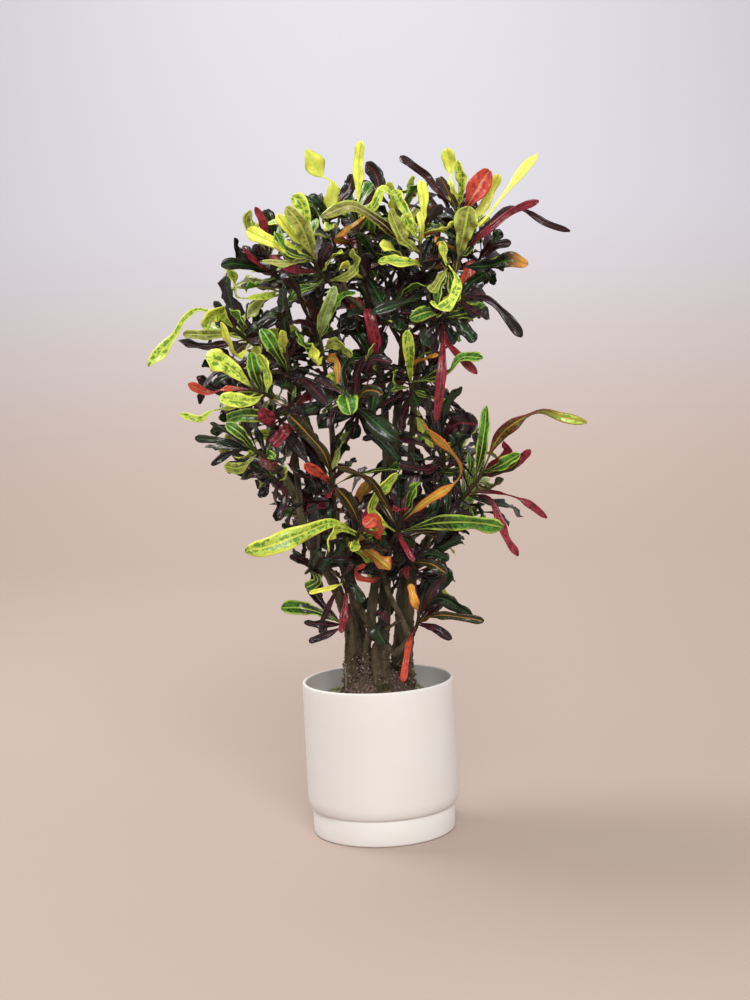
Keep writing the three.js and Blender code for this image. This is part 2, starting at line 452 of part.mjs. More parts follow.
function solidFrom(vertices, triangles) {
  return new wasm.Manifold(
    new wasm.Mesh({
      numProp: 3,
      vertProperties: new Float32Array(vertices.flatMap((v) => [v.x, v.y, v.z])),
      triVerts: new Uint32Array(triangles.flat()),
    }),
  );
}

function solidOf(geometry) {
  const bare = geometry.clone().deleteAttribute("normal").deleteAttribute("uv");
  const merged = mergeVertices(bare, 1e-3);
  const position = merged.getAttribute("position");
  const vertices = [];
  for (let i = 0; i < position.count; i++)
    vertices.push(new THREE.Vector3().fromBufferAttribute(position, i));
  const triangles = [];
  for (let i = 0; i < merged.index.count; i += 3) {
    const [a, b, c] = [0, 1, 2].map((k) => merged.index.getX(i + k));
    if (a !== b && b !== c && c !== a) triangles.push([a, b, c]);
  }
  return solidFrom(vertices, triangles);
}

// The pieces joined, without loose scraps or slivers, and with any pocket that joining sealed filled in.
function joined(pieces) {
  const bodies = wasm.Manifold.union(pieces).simplify(SLIVER).decompose();
  return bodies.sort((a, b) => b.volume() - a.volume())[0];
}

function meshOf(name, solid, material) {
  const { vertProperties, triVerts } = solid.getMesh();
  const geometry = new THREE.BufferGeometry();
  geometry.setAttribute("position", new THREE.BufferAttribute(vertProperties, 3));
  geometry.setIndex(new THREE.BufferAttribute(triVerts, 1));
  geometry.computeVertexNormals();
  const mesh = new THREE.Mesh(geometry, material);
  mesh.name = name;
  return mesh;
}

// A solid that turns about the vertical axis, from its outline as [radius, height], bottom to top.
function turned(outline, sides) {
  const points = outline.map(([r, z]) => new THREE.Vector2(r, z));
  return solidOf(new THREE.LatheGeometry(points, sides).rotateX(Math.PI / 2));
}

// A round tube with flat ends along a line, with a radius for each of its points. It bends at every
// `stride`-th point, and its ends are square to the headings given for them.
function tube(fineLine, fineRadii, sides, { stride = 1, start, end } = {}) {
  const lastPoint = fineLine.length - 1;
  const kept = fineLine.map((_, i) => i).filter((i) => i % stride === 0 && i + stride / 2 <= lastPoint);
  if (kept[kept.length - 1] !== lastPoint) kept.push(lastPoint);
  const line = kept.map((i) => fineLine[i]);
  const radii = kept.map((i) => fineRadii[i]);
  const vertices = [];
  const triangles = [];
  let across = null;
  line.forEach((point, i) => {
    const heading = (i === 0 && start) || (i === line.length - 1 && end) || headingAt(line, i);
    across ??= new THREE.Vector3(1, 0.3, 0.2);
    across = across.clone().addScaledVector(heading, -across.dot(heading)).normalize();
    const up = heading.clone().cross(across);
    for (let k = 0; k < sides; k++) {
      const angle = (FULL_TURN * k) / sides;
      vertices.push(
        point
          .clone()
          .addScaledVector(across, radii[i] * Math.cos(angle))
          .addScaledVector(up, radii[i] * Math.sin(angle)),
      );
    }
  });
  for (let i = 0; i < line.length - 1; i++)
    for (let k = 0; k < sides; k++) {
      const [a, b] = [i * sides + k, i * sides + ((k + 1) % sides)];
      triangles.push([a, b, b + sides], [a, b + sides, a + sides]);
    }
  const last = (line.length - 1) * sides;
  for (let k = 1; k < sides - 1; k++) triangles.push([0, k + 1, k], [last, last + k, last + k + 1]);
  return solidFrom(vertices, triangles);
}

// ---- Leaves -------------------------------------------------------------------------------------

// How wide a leaf is along it, as a share of its widest half. A strap's sides run nearly level to a blunt
// tip, and an oval widens to a round end. A spoon narrows to its midrib halfway and opens wider again,
// a waisted leaf narrows past its middle and opens less, and a stalked one stays narrow up to its end.
const OUTLINES = {
  strap: (t) => rise(t, 0.04, 0.36) * (0.8 + 0.2 * rise(t, 0.3, 0.75)) * roundTip(t, 0.8),
  oval: (t) => (0.3 * rise(t, 0.05, 0.2) + 0.7 * rise(t, 0.2, 0.7)) * roundTip(t, 0.72),
  spoon: (t) =>
    t < 0.5 ? 0.72 * rise(t, 0.06, 0.2) * (1 - rise(t, 0.36, 0.5)) : rise(t, 0.56, 0.76) * roundTip(t, 0.8),
  waisted: (t) =>
    rise(t, 0.05, 0.28) * (1 - 0.8 * rise(t, 0.44, 0.58) + 0.5 * rise(t, 0.6, 0.76)) * roundTip(t, 0.84),
  stalked: (t) => (0.34 * rise(t, 0.04, 0.2) + 0.66 * rise(t, 0.64, 0.8)) * roundTip(t, 0.86),
};

// 1 up to `start`, then rounding in to a narrow end.
function roundTip(t, start) {
  return Math.sqrt(1 - 0.93 * Math.max(0, (t - start) / (1 - start)) ** 3);
}

// The steps that a leaf's solid is cut at, by its outline, its bend or its place.
const LEAF_CUTS = {
  curled: [0, 4, 9, 14, 20, 24],
  spoon: [0, 5, 9, 13, 19, 24],
  waisted: [0, 5, 11, 14, 19, 24],
  stalked: [0, 5, 10, 15, 19, 24],
  plain: [0, 5, 12, 19, 24],
  filling: [0, 7, 17, 24],
};
const MOST_PLAIN_POINTS = 4; // a seen leaf with more points along it than this counts as curled

// A leaf worked out step by step: for each step its point, its heading, the way across it, its face's
// normal, its half width, and how far its left and right edges lift. Its margin waves, and it twists.
function leafAlong(line, across, leaf) {
  const { outline, halfWidth, twist, turn, fold, waves, waveDepth, phase } = leaf;
  const steps = [];
  let side = across;
  for (let i = 0; i <= LEAF_STEPS; i++) {
    const t = i / LEAF_STEPS;
    const heading = headingAt(line, i);
    side = side.clone().addScaledVector(heading, -side.dot(heading)).normalize();
    const turned = side.clone().applyAxisAngle(heading, turn + twist * (t - 0.5));
    const ripple = 1 + WIDTH_RIPPLE * Math.sin(0.6 * FULL_TURN * waves * t + 1.7 * phase);
    const half = Math.max(PETIOLE_HALF_WIDTH * (1 - 0.3 * t), halfWidth * OUTLINES[outline](t) * ripple);
    const swing = waveDepth * half * rise(t, 0.1, 0.3);
    const wave = (shift) => swing * Math.sin(FULL_TURN * waves * t + phase + shift);
    steps.push({
      point: line[i],
      heading,
      across: turned,
      normal: heading.clone().cross(turned),
      half,
      left: fold * half + wave(0),
      right: fold * half + wave(2.2),
    });
  }
  return steps;
}

// The points of a leaf's section: its left edge, the underside of its midrib and its right edge.
function leafSection({ point, across, normal, half, left, right }) {
  return [
    point.clone().addScaledVector(across, -half).addScaledVector(normal, left),
    point.clone().addScaledVector(normal, -LEAF_DEPTH),
    point.clone().addScaledVector(across, half).addScaledVector(normal, right),
  ];
}

// A closed three-sided blade through some of a leaf's steps. Each stretch is split along the higher of
// its face's two diagonals, and its underside the same way, so that a twisted blade keeps its thickness.
function bladeSolid(steps, cuts) {
  const rings = cuts.map((i) => leafSection(steps[i]));
  const triangles = [];
  for (let i = 0; i < cuts.length - 1; i++) {
    const [l0, , r0] = rings[i];
    const [l1, , r1] = rings[i + 1];
    const normal = steps[cuts[i]].normal.clone().add(steps[cuts[i + 1]].normal);
    const rightHigher = r0.clone().add(l1).sub(l0).sub(r1).dot(normal) > 0;
    for (let k = 0; k < 3; k++) {
      const [a, b] = [3 * i + k, 3 * i + ((k + 1) % 3)];
      const onFace = k === 2;
      if (onFace === rightHigher) triangles.push([a, b, b + 3], [a, b + 3, a + 3]);
      else triangles.push([a, b, a + 3], [b, b + 3, a + 3]);
    }
  }
  const last = 3 * (cuts.length - 1);
  triangles.push([0, 2, 1], [last, last + 1, last + 2]);
  return solidFrom(rings.flat(), triangles);
}

// ---- Room between the pieces --------------------------------------------------------------------

// A body is a string of balls that fills a leaf or a stem. Two bodies clear each other when no ball of
// one reaches a ball of the other. Balls marked as root may stand close to their own shoot's.
const bodies = [];
const NARROW = 3; // a leaf's half width under which one ball fills it, where three fill a wider one
const LEAF_SKIN = 0.6; // added to the balls of a leaf
const STEM_SKIN = 0.5;
const SIDE_BALL = 0.62; // how far out the balls at a blade's sides stand, as a share of its half width

function bodyOf(balls, shoot) {
  const centre = new THREE.Vector3();
  balls.forEach(({ at }) => centre.addScaledVector(at, 1 / balls.length));
  const reach = Math.max(...balls.map((ball) => ball.at.distanceTo(centre) + ball.radius));
  return { balls, shoot, centre, reach };
}

function stemBody(line, radii, shoot) {
  const balls = line.map((at, i) => ({ at, radius: radii[i] + STEM_SKIN, root: true }));
  return bodyOf(balls, shoot);
}

function leafBody(steps, shoot) {
  const balls = [];
  for (let i = 2; i <= LEAF_STEPS; i += 2) {
    const { point, across, normal, half, left, right } = steps[i];
    const root = i < ROOT_ZONE * LEAF_STEPS;
    if (half < NARROW) balls.push({ at: point, radius: half + LEAF_SKIN, root });
    else
      for (const side of [-1, 0, 1]) {
        const lift = side < 0 ? left : right;
        const at = point
          .clone()
          .addScaledVector(across, SIDE_BALL * half * side)
          .addScaledVector(normal, side ? SIDE_BALL * lift : 0);
        balls.push({ at, radius: (1 - SIDE_BALL) * half + LEAF_SKIN, root });
      }
  }
  return bodyOf(balls, shoot);
}

function clears(body) {
  return bodies.every((other) => {
    if (other.centre.distanceTo(body.centre) > other.reach + body.reach + LEAF_GAP) return true;
    const own = other.shoot === body.shoot;
    return body.balls.every((a) =>
      other.balls.every(
        (b) => (own && a.root && b.root) || a.at.distanceTo(b.at) > a.radius + b.radius + LEAF_GAP,
      ),
    );
  });
}

const inPixels = (size) => (size * VIEW.focal) / VIEW.distance;

// The disc of the picture that a ball covers.
function spotOf({ at, radius }) {
  const [u, v, front] = toPhoto(at);
  return { pixel: [u, v], front, radius: inPixels(radius) };
}

// Whether a leaf stays inside the crown, out of its gaps, and behind what the photograph shows.
function fitsPicture(body, seen) {
  return body.balls.every(({ at, radius }) => {
    const [u, v, front] = toPhoto(at);
    const away = ([x, y]) => Math.hypot(u - x, v - y);
    if (front > CROWN_FRONT || front < CROWN_BACK || !insideOutline(u, v, CROWN_EDGE)) return false;
    if (CROWN_GAPS.some((gap) => away(gap) < gap[2])) return false;
    return !seen.some((spot) => front > spot.front && away(spot.pixel) < inPixels(radius) + spot.radius);
  });
}

function insideOutline(u, v, outline) {
  let inside = false;
  outline.forEach(([u0, v0], i) => {
    const [u1, v1] = outline[(i + 1) % outline.length];
    if (v0 > v !== v1 > v && u < u0 + ((u1 - u0) * (v - v0)) / (v1 - v0)) inside = !inside;
  });
  return inside;
}

// ---- Growing the plant --------------------------------------------------------------------------

// Each stem's line, radii and leafy part. Its wood ends flat where its leafy shoot starts, and the shoot
// is straight between a few bends.
function growStem([name, parent, path, startRadius, endRadius, leafyLength]) {
  const points = path.map(fromPhoto);
  if (!parent) {
    const [foot] = points;
    points.unshift(new THREE.Vector3(foot.x, foot.y, SOIL.level - PLANTED_DEPTH));
  }
  const steps = Math.max(LEAST_STEM_STEPS, Math.round(lengthOf(points) / STEM_STEP));
  const line = evenLine(points, steps);
  const woodSteps = steps - Math.round((steps * leafyLength) / lengthOf(line));
  const radii = line.map((_, i) => between(startRadius, endRadius, Math.min(1, i / woodSteps)));
  const stem = { name, parent, line: line.slice(0, woodSteps + 1), radii, leafyLength };
  if (leafyLength) {
    const bends = evenLine(line.slice(woodSteps), leafyLength > LONG_SHOOT ? 3 : 2);
    const joint = headingAt(line, woodSteps);
    bends[0].addScaledVector(joint, JOIN_GAP);
    const shootRadii = bends.map(() => endRadius * SHOOT_TAPER);
    Object.assign(stem, { shootLine: bends, shootRadii, joint });
  }
  return stem;
}

// The point on a shoot's middle line at a share of its length, with its heading and radius there.
function placeOn({ shootLine, shootRadii }, share) {
  const at = share * (shootLine.length - 1);
  const i = Math.min(shootLine.length - 2, Math.floor(at));
  return {
    point: shootLine[i].clone().lerp(shootLine[i + 1], at - i),
    heading: shootLine[i + 1].clone().sub(shootLine[i]).normalize(),
    radius: between(shootRadii[i], shootRadii[i + 1], at - i),
  };
}

// Where a leaf's root is sunk into its shoot, on the side that it leaves from.
function rootOn(place, outward) {
  return place.point.clone().addScaledVector(outward, place.radius * ROOT_OFFSET);
}

function rootOf(stems, stem) {
  return stem.parent ? rootOf(stems, stems.get(stem.parent)) : stem;
}

// One value drawn from each of the ranges.
function drawShape(ranges, draw) {
  const drawn = Object.entries(ranges).map(([key, [low, high]]) => [key, between(low, high, draw())]);
  return Object.fromEntries(drawn);
}

// A leaf that the photograph shows, along its own pixels. It keeps its outline in the picture, and moves
// nearer to the viewer or further away until it clears the leaves already there.
function seenLeaf(stem, row, index) {
  const [shoot, finish, outline, width, reach, pixels] = row;
  const [u, v] = pixels[0];
  const away = ({ point }) => {
    const [x, y] = toPhoto(point);
    return Math.hypot(x - u, y - v);
  };
  const places = Array.from({ length: 21 }, (_, i) => placeOn(stem, between(...ROOT_SHARES, i / 20)));
  const place = places.reduce((best, other) => (away(other) < away(best) ? other : best));
  const rootFront = -place.point.y;
  const draw = seededDraw(SEEN_SEED + index * SEED_STEPS.seen);
  const leaf = { outline, halfWidth: width / 2, ...drawShape(SEEN_SHAPE, draw) };
  const curls = pixels.slice(1).map(() => between(...SEEN_CURL, draw()));
  const cuts = LEAF_CUTS[outline] ?? LEAF_CUTS[pixels.length > MOST_PLAIN_POINTS ? "curled" : "plain"];
  for (const shift of DEPTH_SHIFTS) {
    const points = pixels.slice(1).map(([x, y], i) => {
      const share = (i + 1) / (pixels.length - 1);
      return fromPhoto([x, y, rootFront + curls[i] + (reach + shift) * Math.sin((share * Math.PI) / 2)]);
    });
    const outward = points[0].clone().sub(place.point).projectOnPlane(place.heading).normalize();
    const line = evenLine([rootOn(place, outward), ...points], LEAF_STEPS);
    const across = new THREE.Vector3(0, -1, 0.25).cross(headingAt(line, 8)).normalize();
    const steps = leafAlong(line, across, leaf);
    const body = leafBody(steps, shoot);
    if (clears(body)) return { steps, body, finish, cuts };
  }
  return null;
}

// How the filling leaves' outlines and finishes are shared out: each with the share drawn up to it.
const FILLING_OUTLINES = [["strap", 0.52], ["oval", 0.74], ["spoon", 0.86], ["waisted", 1]];
const BRIGHT_FINISHES = [["lime", 0.35], ["olive", 0.65], ["green", 0.9], ["yellow", 1]];
const ACCENT_FINISHES = [["crimson", 0.45], ["ember", 0.75], ["coral", 0.85], ["orange", 1]];
const DARK_FINISHES = [["dark", 0.42], ["maroon", 0.7], ["green", 0.82], ["purple", 1]];
const ACCENT_SHARE = 0.1;

// Where a filling leaf stands in the crown sets its finish: more bright ones high up, to the left and to
// the front, near black and maroon inside, and accents of red and orange all over.
function finishAt(point, draw) {
  const [u, v, front] = toPhoto(point);
  const bright = 0.05 + 0.2 * rise(v, 300, 190) + 0.07 * rise(u, 320, 230) + 0.06 * rise(front, 30, 120);
  const share = draw();
  const pick = draw();
  let finishes = DARK_FINISHES;
  if (share < bright) finishes = BRIGHT_FINISHES;
  else if (share < bright + ACCENT_SHARE) finishes = ACCENT_FINISHES;
  return finishes.find(([, upTo]) => pick < upTo)[0];
}

// One of the leaves that fill a shoot, by the golden angle up it. The lower leaves spread and droop, and
// the top ones stand up. It is drawn again until it clears its neighbours and fits the crown.
function fillingLeaf(stem, stemIndex, index, count, seen) {
  const share = (index + 0.5) / count;
  const place = placeOn(stem, share);
  const { heading } = place;
  const first = new THREE.Vector3(0.3, 1, 0.1).cross(heading).normalize();
  const seed = FILLING_SEED + SEED_STEPS.stem * stemIndex + SEED_STEPS.leaf * index;
  for (let attempt = 0; attempt < TRIES; attempt++) {
    const draw = seededDraw(seed + SEED_STEPS.attempt * attempt);
    const stray = AZIMUTH_STRAY * (1 + attempt);
    const azimuth = index * GOLDEN_ANGLE + stemIndex + between(-stray, stray, draw());
    const radial = first.clone().applyAxisAngle(heading, azimuth);
    const pitch = between(...PITCH, share ** PITCH_POWER) + between(...PITCH_STRAY, draw());
    const across = heading.clone().cross(radial);
    const direction = heading.clone().applyAxisAngle(across, pitch);
    const size = between(...SIZE_BY_TRY, attempt / TRIES) * between(...SIZE_BY_PLACE, share);
    const outlineDrawn = draw();
    const [outline] = FILLING_OUTLINES.find(([, upTo]) => outlineDrawn < upTo);
    const [shorter, wider] = outline === "oval" ? OVAL_SCALE : [1, 1];
    const length = LEAF_LENGTH * size * shorter * between(...LENGTH_STRAY, draw());
    const halfWidth = LEAF_HALF_WIDTH * wider * (0.5 + 0.5 * size) * between(...WIDTH_STRAY, draw());
    const bend = between(...BEND, draw()) * (0.5 + 0.6 * Math.hypot(direction.x, direction.y));
    const sway = between(...SWAY, draw());
    const curl = between(...CURL, draw());
    const leaf = { outline, halfWidth, ...drawShape(FILLING_SHAPE, draw) };
    const line = arc(rootOn(place, radial), direction, across, length, { bend, sway, curl });
    const steps = leafAlong(line, across, leaf);
    const body = leafBody(steps, stem.name);
    if (!fitsPicture(body, seen) || !clears(body)) continue;
    return { steps, body, finish: finishAt(line[LEAF_STEPS / 2], draw), cuts: LEAF_CUTS.filling };
  }
  return null;
}

// A line that leaves `start`, bends downward and sideways, more toward its tip, and curls on the way.
function arc(start, direction, across, length, { bend, sway, curl }) {
  const heading = direction.clone();
  const side = across.clone();
  const line = [start.clone()];
  for (let i = 0; i < LEAF_STEPS; i++) {
    const growth = (2 * (i + 0.5)) / LEAF_STEPS ** 2;
    const normal = heading.clone().cross(side);
    const curling = (Math.PI * Math.sin((FULL_TURN * (i + 0.5)) / LEAF_STEPS)) / LEAF_STEPS;
    heading.applyAxisAngle(side, bend * growth + curl * curling);
    heading.applyAxisAngle(normal, sway * growth);
    side.applyAxisAngle(normal, sway * growth);
    line.push(line[i].clone().addScaledVector(heading, length / LEAF_STEPS));
  }
  return line;
}

const stems = new Map(STEMS.map((row) => [row[0], growStem(row)]));
for (const stem of stems.values()) {
  bodies.push(stemBody(stem.line, stem.radii, "wood"));
  if (!stem.leafyLength) continue;
  const places = Array.from({ length: 13 }, (_, i) => placeOn(stem, i / 12));
  bodies.push(stemBody(places.map(({ point }) => point), places.map(({ radius }) => radius), stem.name));
}

const leaves = [];
function addLeaf(shoot, leaf) {
  if (!leaf) return;
  bodies.push(leaf.body);
  leaves.push({ shoot, ...leaf });
}
SEEN_LEAVES.forEach((row, i) => addLeaf(row[0], seenLeaf(stems.get(row[0]), row, i)));

const bareWood = bodies.filter(({ shoot }) => shoot === "wood").flatMap(({ balls }) => balls.map(spotOf));
const seenSpots = leaves.flatMap(({ body }) => body.balls.map(spotOf));
seenSpots.push(...bareWood.filter(({ pixel: [, v] }) => v > BARE_FROM));
[...stems.values()].forEach((stem, stemIndex) => {
  const count = Math.round(stem.leafyLength / LEAF_SPACING);
  for (let i = 0; i < count; i++) addLeaf(stem.name, fillingLeaf(stem, stemIndex, i, count, seenSpots));
});

// ---- Pot and soil -------------------------------------------------------------------------------

// Points of a rounded corner, from one angle to another, in degrees. It may be stretched upward.
function corner([r, z], radius, from, to, steps = 2, stretch = 1) {
  return Array.from({ length: steps + 1 }, (_, i) => {
    const angle = THREE.MathUtils.degToRad(between(from, to, i / steps));
    return [r + radius * Math.cos(angle), z + stretch * radius * Math.sin(angle)];
  });
}

function potSolid() {
  const { radius, height, wall, floor, footRadius, footHeight, grooveDepth, shoulder, edge, sides } = POT;
  const overhang = radius - footRadius;
  const shoulderTop = footHeight + grooveDepth + shoulder;
  return turned(
    [
      [0, 0],
      ...corner([footRadius - edge, edge], edge, -90, 0),
      [footRadius, footHeight - grooveDepth],
      [footRadius - grooveDepth, footHeight],
      [footRadius, footHeight + grooveDepth],
      ...corner([footRadius, shoulderTop], overhang, -75, 0, 3, shoulder / overhang),
      ...corner([radius - wall / 2, height - wall / 2], wall / 2, 0, 180, 4),
      ...potInside(0).reverse(),
      [0, floor],
    ],
    sides,
  );
}

// The pot's inner wall from the floor up, or a surface `gap` inside it.
function potInside(gap) {
  const { radius, wall, floor, footRadius, footHeight, shoulder } = POT;
  return [
    [footRadius - wall - gap, floor + gap],
    [footRadius - wall - gap, footHeight + gap],
    [radius - wall - gap, footHeight + shoulder + wall + gap],
  ];
}

function soilHeight(x, y) {
  const out = Math.min(1, Math.hypot(x, y - SOIL.moundShift) / SOIL.moundRadius);
  const bumps = Math.sin(x / 7.3 + 1.2) * Math.cos(y / 6.1 + 0.4) + 0.6 * Math.sin(x / 3.9 - y / 4.7);
  return SOIL.level + SOIL.mound * (1 - out * out) ** 1.5 + SOIL.relief * bumps;
}

// The soil fills the pot, up to a rough mound about the stems.
function soilSolid(holes) {
  const radius = POT.radius - POT.wall - SOIL.gap;
  const lower = potInside(SOIL.gap).reverse();
  const bottom = POT.floor + SOIL.gap;
  const vertices = [new THREE.Vector3(0, 0, soilHeight(0, 0)), new THREE.Vector3(0, 0, bottom)];
  const triangles = [];
  const ring = (r, heightOf) => {
    const start = vertices.length;
    for (let k = 0; k < POT.sides; k++) {
      const angle = (FULL_TURN * k) / POT.sides;
      const [x, y] = [r * Math.cos(angle), r * Math.sin(angle)];
      vertices.push(new THREE.Vector3(x, y, heightOf(x, y)));
    }
    return start;
  };
  const starts = Array.from({ length: SOIL.rings }, (_, i) =>
    ring((radius * (i + 1)) / SOIL.rings, soilHeight),
  );
  lower.forEach(([r, z]) => starts.push(ring(r, () => z)));
  for (let k = 0; k < POT.sides; k++) {
    const next = (k + 1) % POT.sides;
    triangles.push([0, starts[0] + k, starts[0] + next]);
    for (let i = 0; i < starts.length - 1; i++) {
      const [a, b] = [starts[i], starts[i + 1]];
      triangles.push([a + k, b + k, b + next], [a + k, b + next, a + next]);
    }
    const last = starts[starts.length - 1];
    triangles.push([1, last + next, last + k]);
  }
  return solidFrom(vertices, triangles).subtract(wasm.Manifold.union(holes));
}

// A stem's hole, as wide as the thickest part of the stem that the soil's mound can reach.
function holeFor({ line, radii }) {
  const [foot] = line;
  const bottom = foot.clone().setZ(foot.z - HOLE_CLEARANCE);
  const top = foot.clone().setZ(SOIL.level + 2 * SOIL.mound);
  const buried = radii.filter((_, i) => line[i]?.z < SOIL.level + SOIL.mound + STEM_STEP);
  const radius = (Math.max(...buried) + HOLE_CLEARANCE) / Math.cos(Math.PI / HOLE_SIDES);
  return tube([bottom, top], [radius, radius], HOLE_SIDES);
}

// ---- The plant in its pot -----------------------------------------------------------------------

const croton = new THREE.Group();

const ceramic = new THREE.MeshStandardMaterial({ color: 0xeeebe6, roughness: 0.75 });
const earth = new THREE.MeshStandardMaterial({ color: 0x4a3526, roughness: 1 });
const bark = new THREE.MeshStandardMaterial({ color: 0x7d6f60, roughness: 0.9 });

const planted = [...stems.values()].filter((stem) => !stem.parent);
croton.add(meshOf("pot", potSolid(), ceramic));
croton.add(meshOf("soil", soilSolid(planted.map(holeFor)), earth));

for (const root of planted) {
  const family = [...stems.values()].filter((stem) => rootOf(stems, stem) === root);
  const wood = family.map(({ line, radii, parent, joint }) =>
    tube(line, radii, parent ? BRANCH_SIDES : TRUNK_SIDES, { stride: STEM_STRIDE, end: joint }),
  );
  croton.add(meshOf(`stem_${root.name}`, joined(wood), bark));
}

for (const stem of stems.values()) {
  if (!stem.leafyLength) continue;
  const own = leaves.filter((leaf) => leaf.shoot === stem.name);
  const pieces = [tube(stem.shootLine, stem.shootRadii, YOUNG_SIDES, { start: stem.joint })];
  own.forEach(({ steps, cuts }) => pieces.push(bladeSolid(steps, cuts)));
  const colour = new THREE.Color(0, 0, 0);
  own.forEach(({ finish }) => colour.add(new THREE.Color(LEAF_COLOURS[finish])));
  colour.multiplyScalar(1 / own.length);
  const foliage = new THREE.MeshStandardMaterial({ color: colour, roughness: 0.35 });
  croton.add(meshOf(`shoot_${stem.name}`, joined(pieces), foliage));
}

export default croton;
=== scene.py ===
"""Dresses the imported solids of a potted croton: its pot, soil, stems and leafy shoots.

Lengths of the meshes are in metres. The plant is grown in millimetres, by the rule that its solids
were grown by, so that every leaf and stem here stands where its solid does.
"""

import functools
import json
import math

import bmesh
import bpy
import numpy as np
from bpy.props import FloatProperty, FloatVectorProperty, IntProperty, PointerProperty
from mathutils import Euler, Matrix, Vector

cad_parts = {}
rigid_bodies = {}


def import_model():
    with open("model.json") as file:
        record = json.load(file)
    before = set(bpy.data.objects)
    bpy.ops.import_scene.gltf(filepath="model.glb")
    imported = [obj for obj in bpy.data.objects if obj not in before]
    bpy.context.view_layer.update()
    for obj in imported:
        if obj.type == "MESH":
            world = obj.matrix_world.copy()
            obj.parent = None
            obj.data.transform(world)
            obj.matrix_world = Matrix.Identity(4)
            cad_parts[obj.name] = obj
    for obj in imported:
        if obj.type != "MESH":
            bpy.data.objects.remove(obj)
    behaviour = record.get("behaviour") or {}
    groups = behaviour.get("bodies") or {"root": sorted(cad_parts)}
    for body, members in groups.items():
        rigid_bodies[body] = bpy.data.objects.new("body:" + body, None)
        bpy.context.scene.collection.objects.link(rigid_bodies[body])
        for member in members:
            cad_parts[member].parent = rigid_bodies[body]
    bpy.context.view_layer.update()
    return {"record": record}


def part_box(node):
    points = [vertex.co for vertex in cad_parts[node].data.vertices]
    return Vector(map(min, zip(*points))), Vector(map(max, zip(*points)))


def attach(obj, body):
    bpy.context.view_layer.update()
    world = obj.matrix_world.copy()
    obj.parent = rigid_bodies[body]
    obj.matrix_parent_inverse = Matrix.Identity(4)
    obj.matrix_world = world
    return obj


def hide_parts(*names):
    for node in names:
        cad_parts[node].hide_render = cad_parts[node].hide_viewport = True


bl_info = {
    "name": "Potted croton",
    "version": (1, 0, 0),
    "blender": (4, 5, 0),
    "location": "3D View > Sidebar > Croton",
    "description": "Models and finishes a bushy croton in a white ceramic pot",
    "category": "Object",
}

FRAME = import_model()
POT_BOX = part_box("pot")
SLOT_OF = {part["node"]: part["material_slot"] for part in FRAME["record"]["subparts"]}

MM = 0.001
ROOT = "root"  # the one body that every piece rides on

# ---- Sizes of the plant, in millimetres ------------------------------------------------------------

SOIL_LEVEL = 160
SOIL_MOUND = 50
MOUND_RADIUS = 64
MOUND_SHIFT = -8
SOIL_RELIEF = 1.6
PLANTED_DEPTH = 24
JOIN_GAP = 0.3  # between the end of the wood and the leafy shoot that carries on from it
STEM_STEP = 9
LEAST_STEM_STEPS = 6
SHOOT_TAPER = 0.85  # a leafy shoot's radius, as a share of the radius of the wood that it grows from
LONG_SHOOT = 60  # a leafy shoot longer than this bends twice, and a shorter one once

LEAF_STEPS = 24  # a leaf is worked out at this many steps along it
PETIOLE_HALF_WIDTH = 1
WIDTH_RIPPLE = 0.2  # how much a leaf widens and narrows along it, as a share of its width
ROOT_OFFSET = 0.2  # a leaf's root is sunk this far from its shoot's middle line, in its radii
ROOT_SHARES = (0.08, 0.97)  # the stretch of a shoot that the seen leaves grow from
LEAF_SPACING = 12.8  # along a shoot, between one leaf and the next
LEAF_LENGTH = 96
LEAF_HALF_WIDTH = 9
LEAF_GAP = 1.1  # kept between leaves that pass each other
ROOT_ZONE = 0.22  # share of a leaf that may stand close to its own shoot
TRIES = 24
GOLDEN_ANGLE = math.pi * (3 - math.sqrt(5))
WAVE_LAG = 2.2  # how far apart the waves of a leaf's two margins are, in radians
ROOT_PLACES = 20  # steps along a shoot at which the place of a seen leaf's root is looked for
SHOOT_BALLS = 12  # steps along a shoot, each with a ball that keeps leaves off it
CURVE_STEPS = 12  # steps of a curve, for each point that it runs through
SKIPPED_DRAWS = 3  # the first draws of a seed are too much like those of the next seed
FULL_TURN = 2 * math.pi

# The ranges that a leaf's shape is drawn from: how far it is turned about its line and twists along it,
# in radians, how deep it folds and its margin waves, against its half width, and how many waves it has.
SHAPE_KEYS = ("turn", "twist", "fold", "waves", "wave_depth", "phase")
SEEN_SHAPE = ((-0.35, 0.35), (-1.1, 1.1), (0.06, 0.4), (2, 3.6), (0.14, 0.42), (0, FULL_TURN))
FILLING_SHAPE = ((-0.5, 0.5), (-2.3, 2.3), (0.08, 0.42), (1.6, 3.2), (0.14, 0.4), (0, FULL_TURN))
PITCH = (1.45, 0.5)  # a filling leaf's angle to its shoot, low on it and at its top, in radians
PITCH_POWER = 1.6
PITCH_STRAY = (-0.3, 0.3)
AZIMUTH_STRAY = 0.28  # and its angle about it, more with each try
SIZE_BY_TRY = (1.1, 0.72)  # a leaf is drawn smaller with each try
SIZE_BY_PLACE = (1, 0.85)  # and the higher it stands on its shoot
LENGTH_STRAY = (0.72, 1.2)
WIDTH_STRAY = (0.66, 1.3)
OVAL_SHORTER, OVAL_WIDER = 0.82, 1.15
BEND = (-0.6, 1.3)  # of a filling leaf, downward, in radians
SWAY = (-0.6, 0.6)  # and sideways
CURL = (-0.8, 0.8)  # and one way and back again
SEEN_CURL = (-8, 8)  # how far points along a seen leaf stray toward the viewer
SEEN_SEED = 5000
FILLING_SEED = 17
SEEN_SEED_STEP, STEM_SEED_STEP, LEAF_SEED_STEP, ATTEMPT_SEED_STEP = 61, 7919, 523, 104729
YOUNG_SALT = 1000003  # sets the draws of the smaller leaves apart
YOUNG_SHRINK = 0.14  # how much smaller they are with each round, as a share of their first size
YOUNG_SPREAD = 1.1  # how much further they stand out from their shoot than the large ones
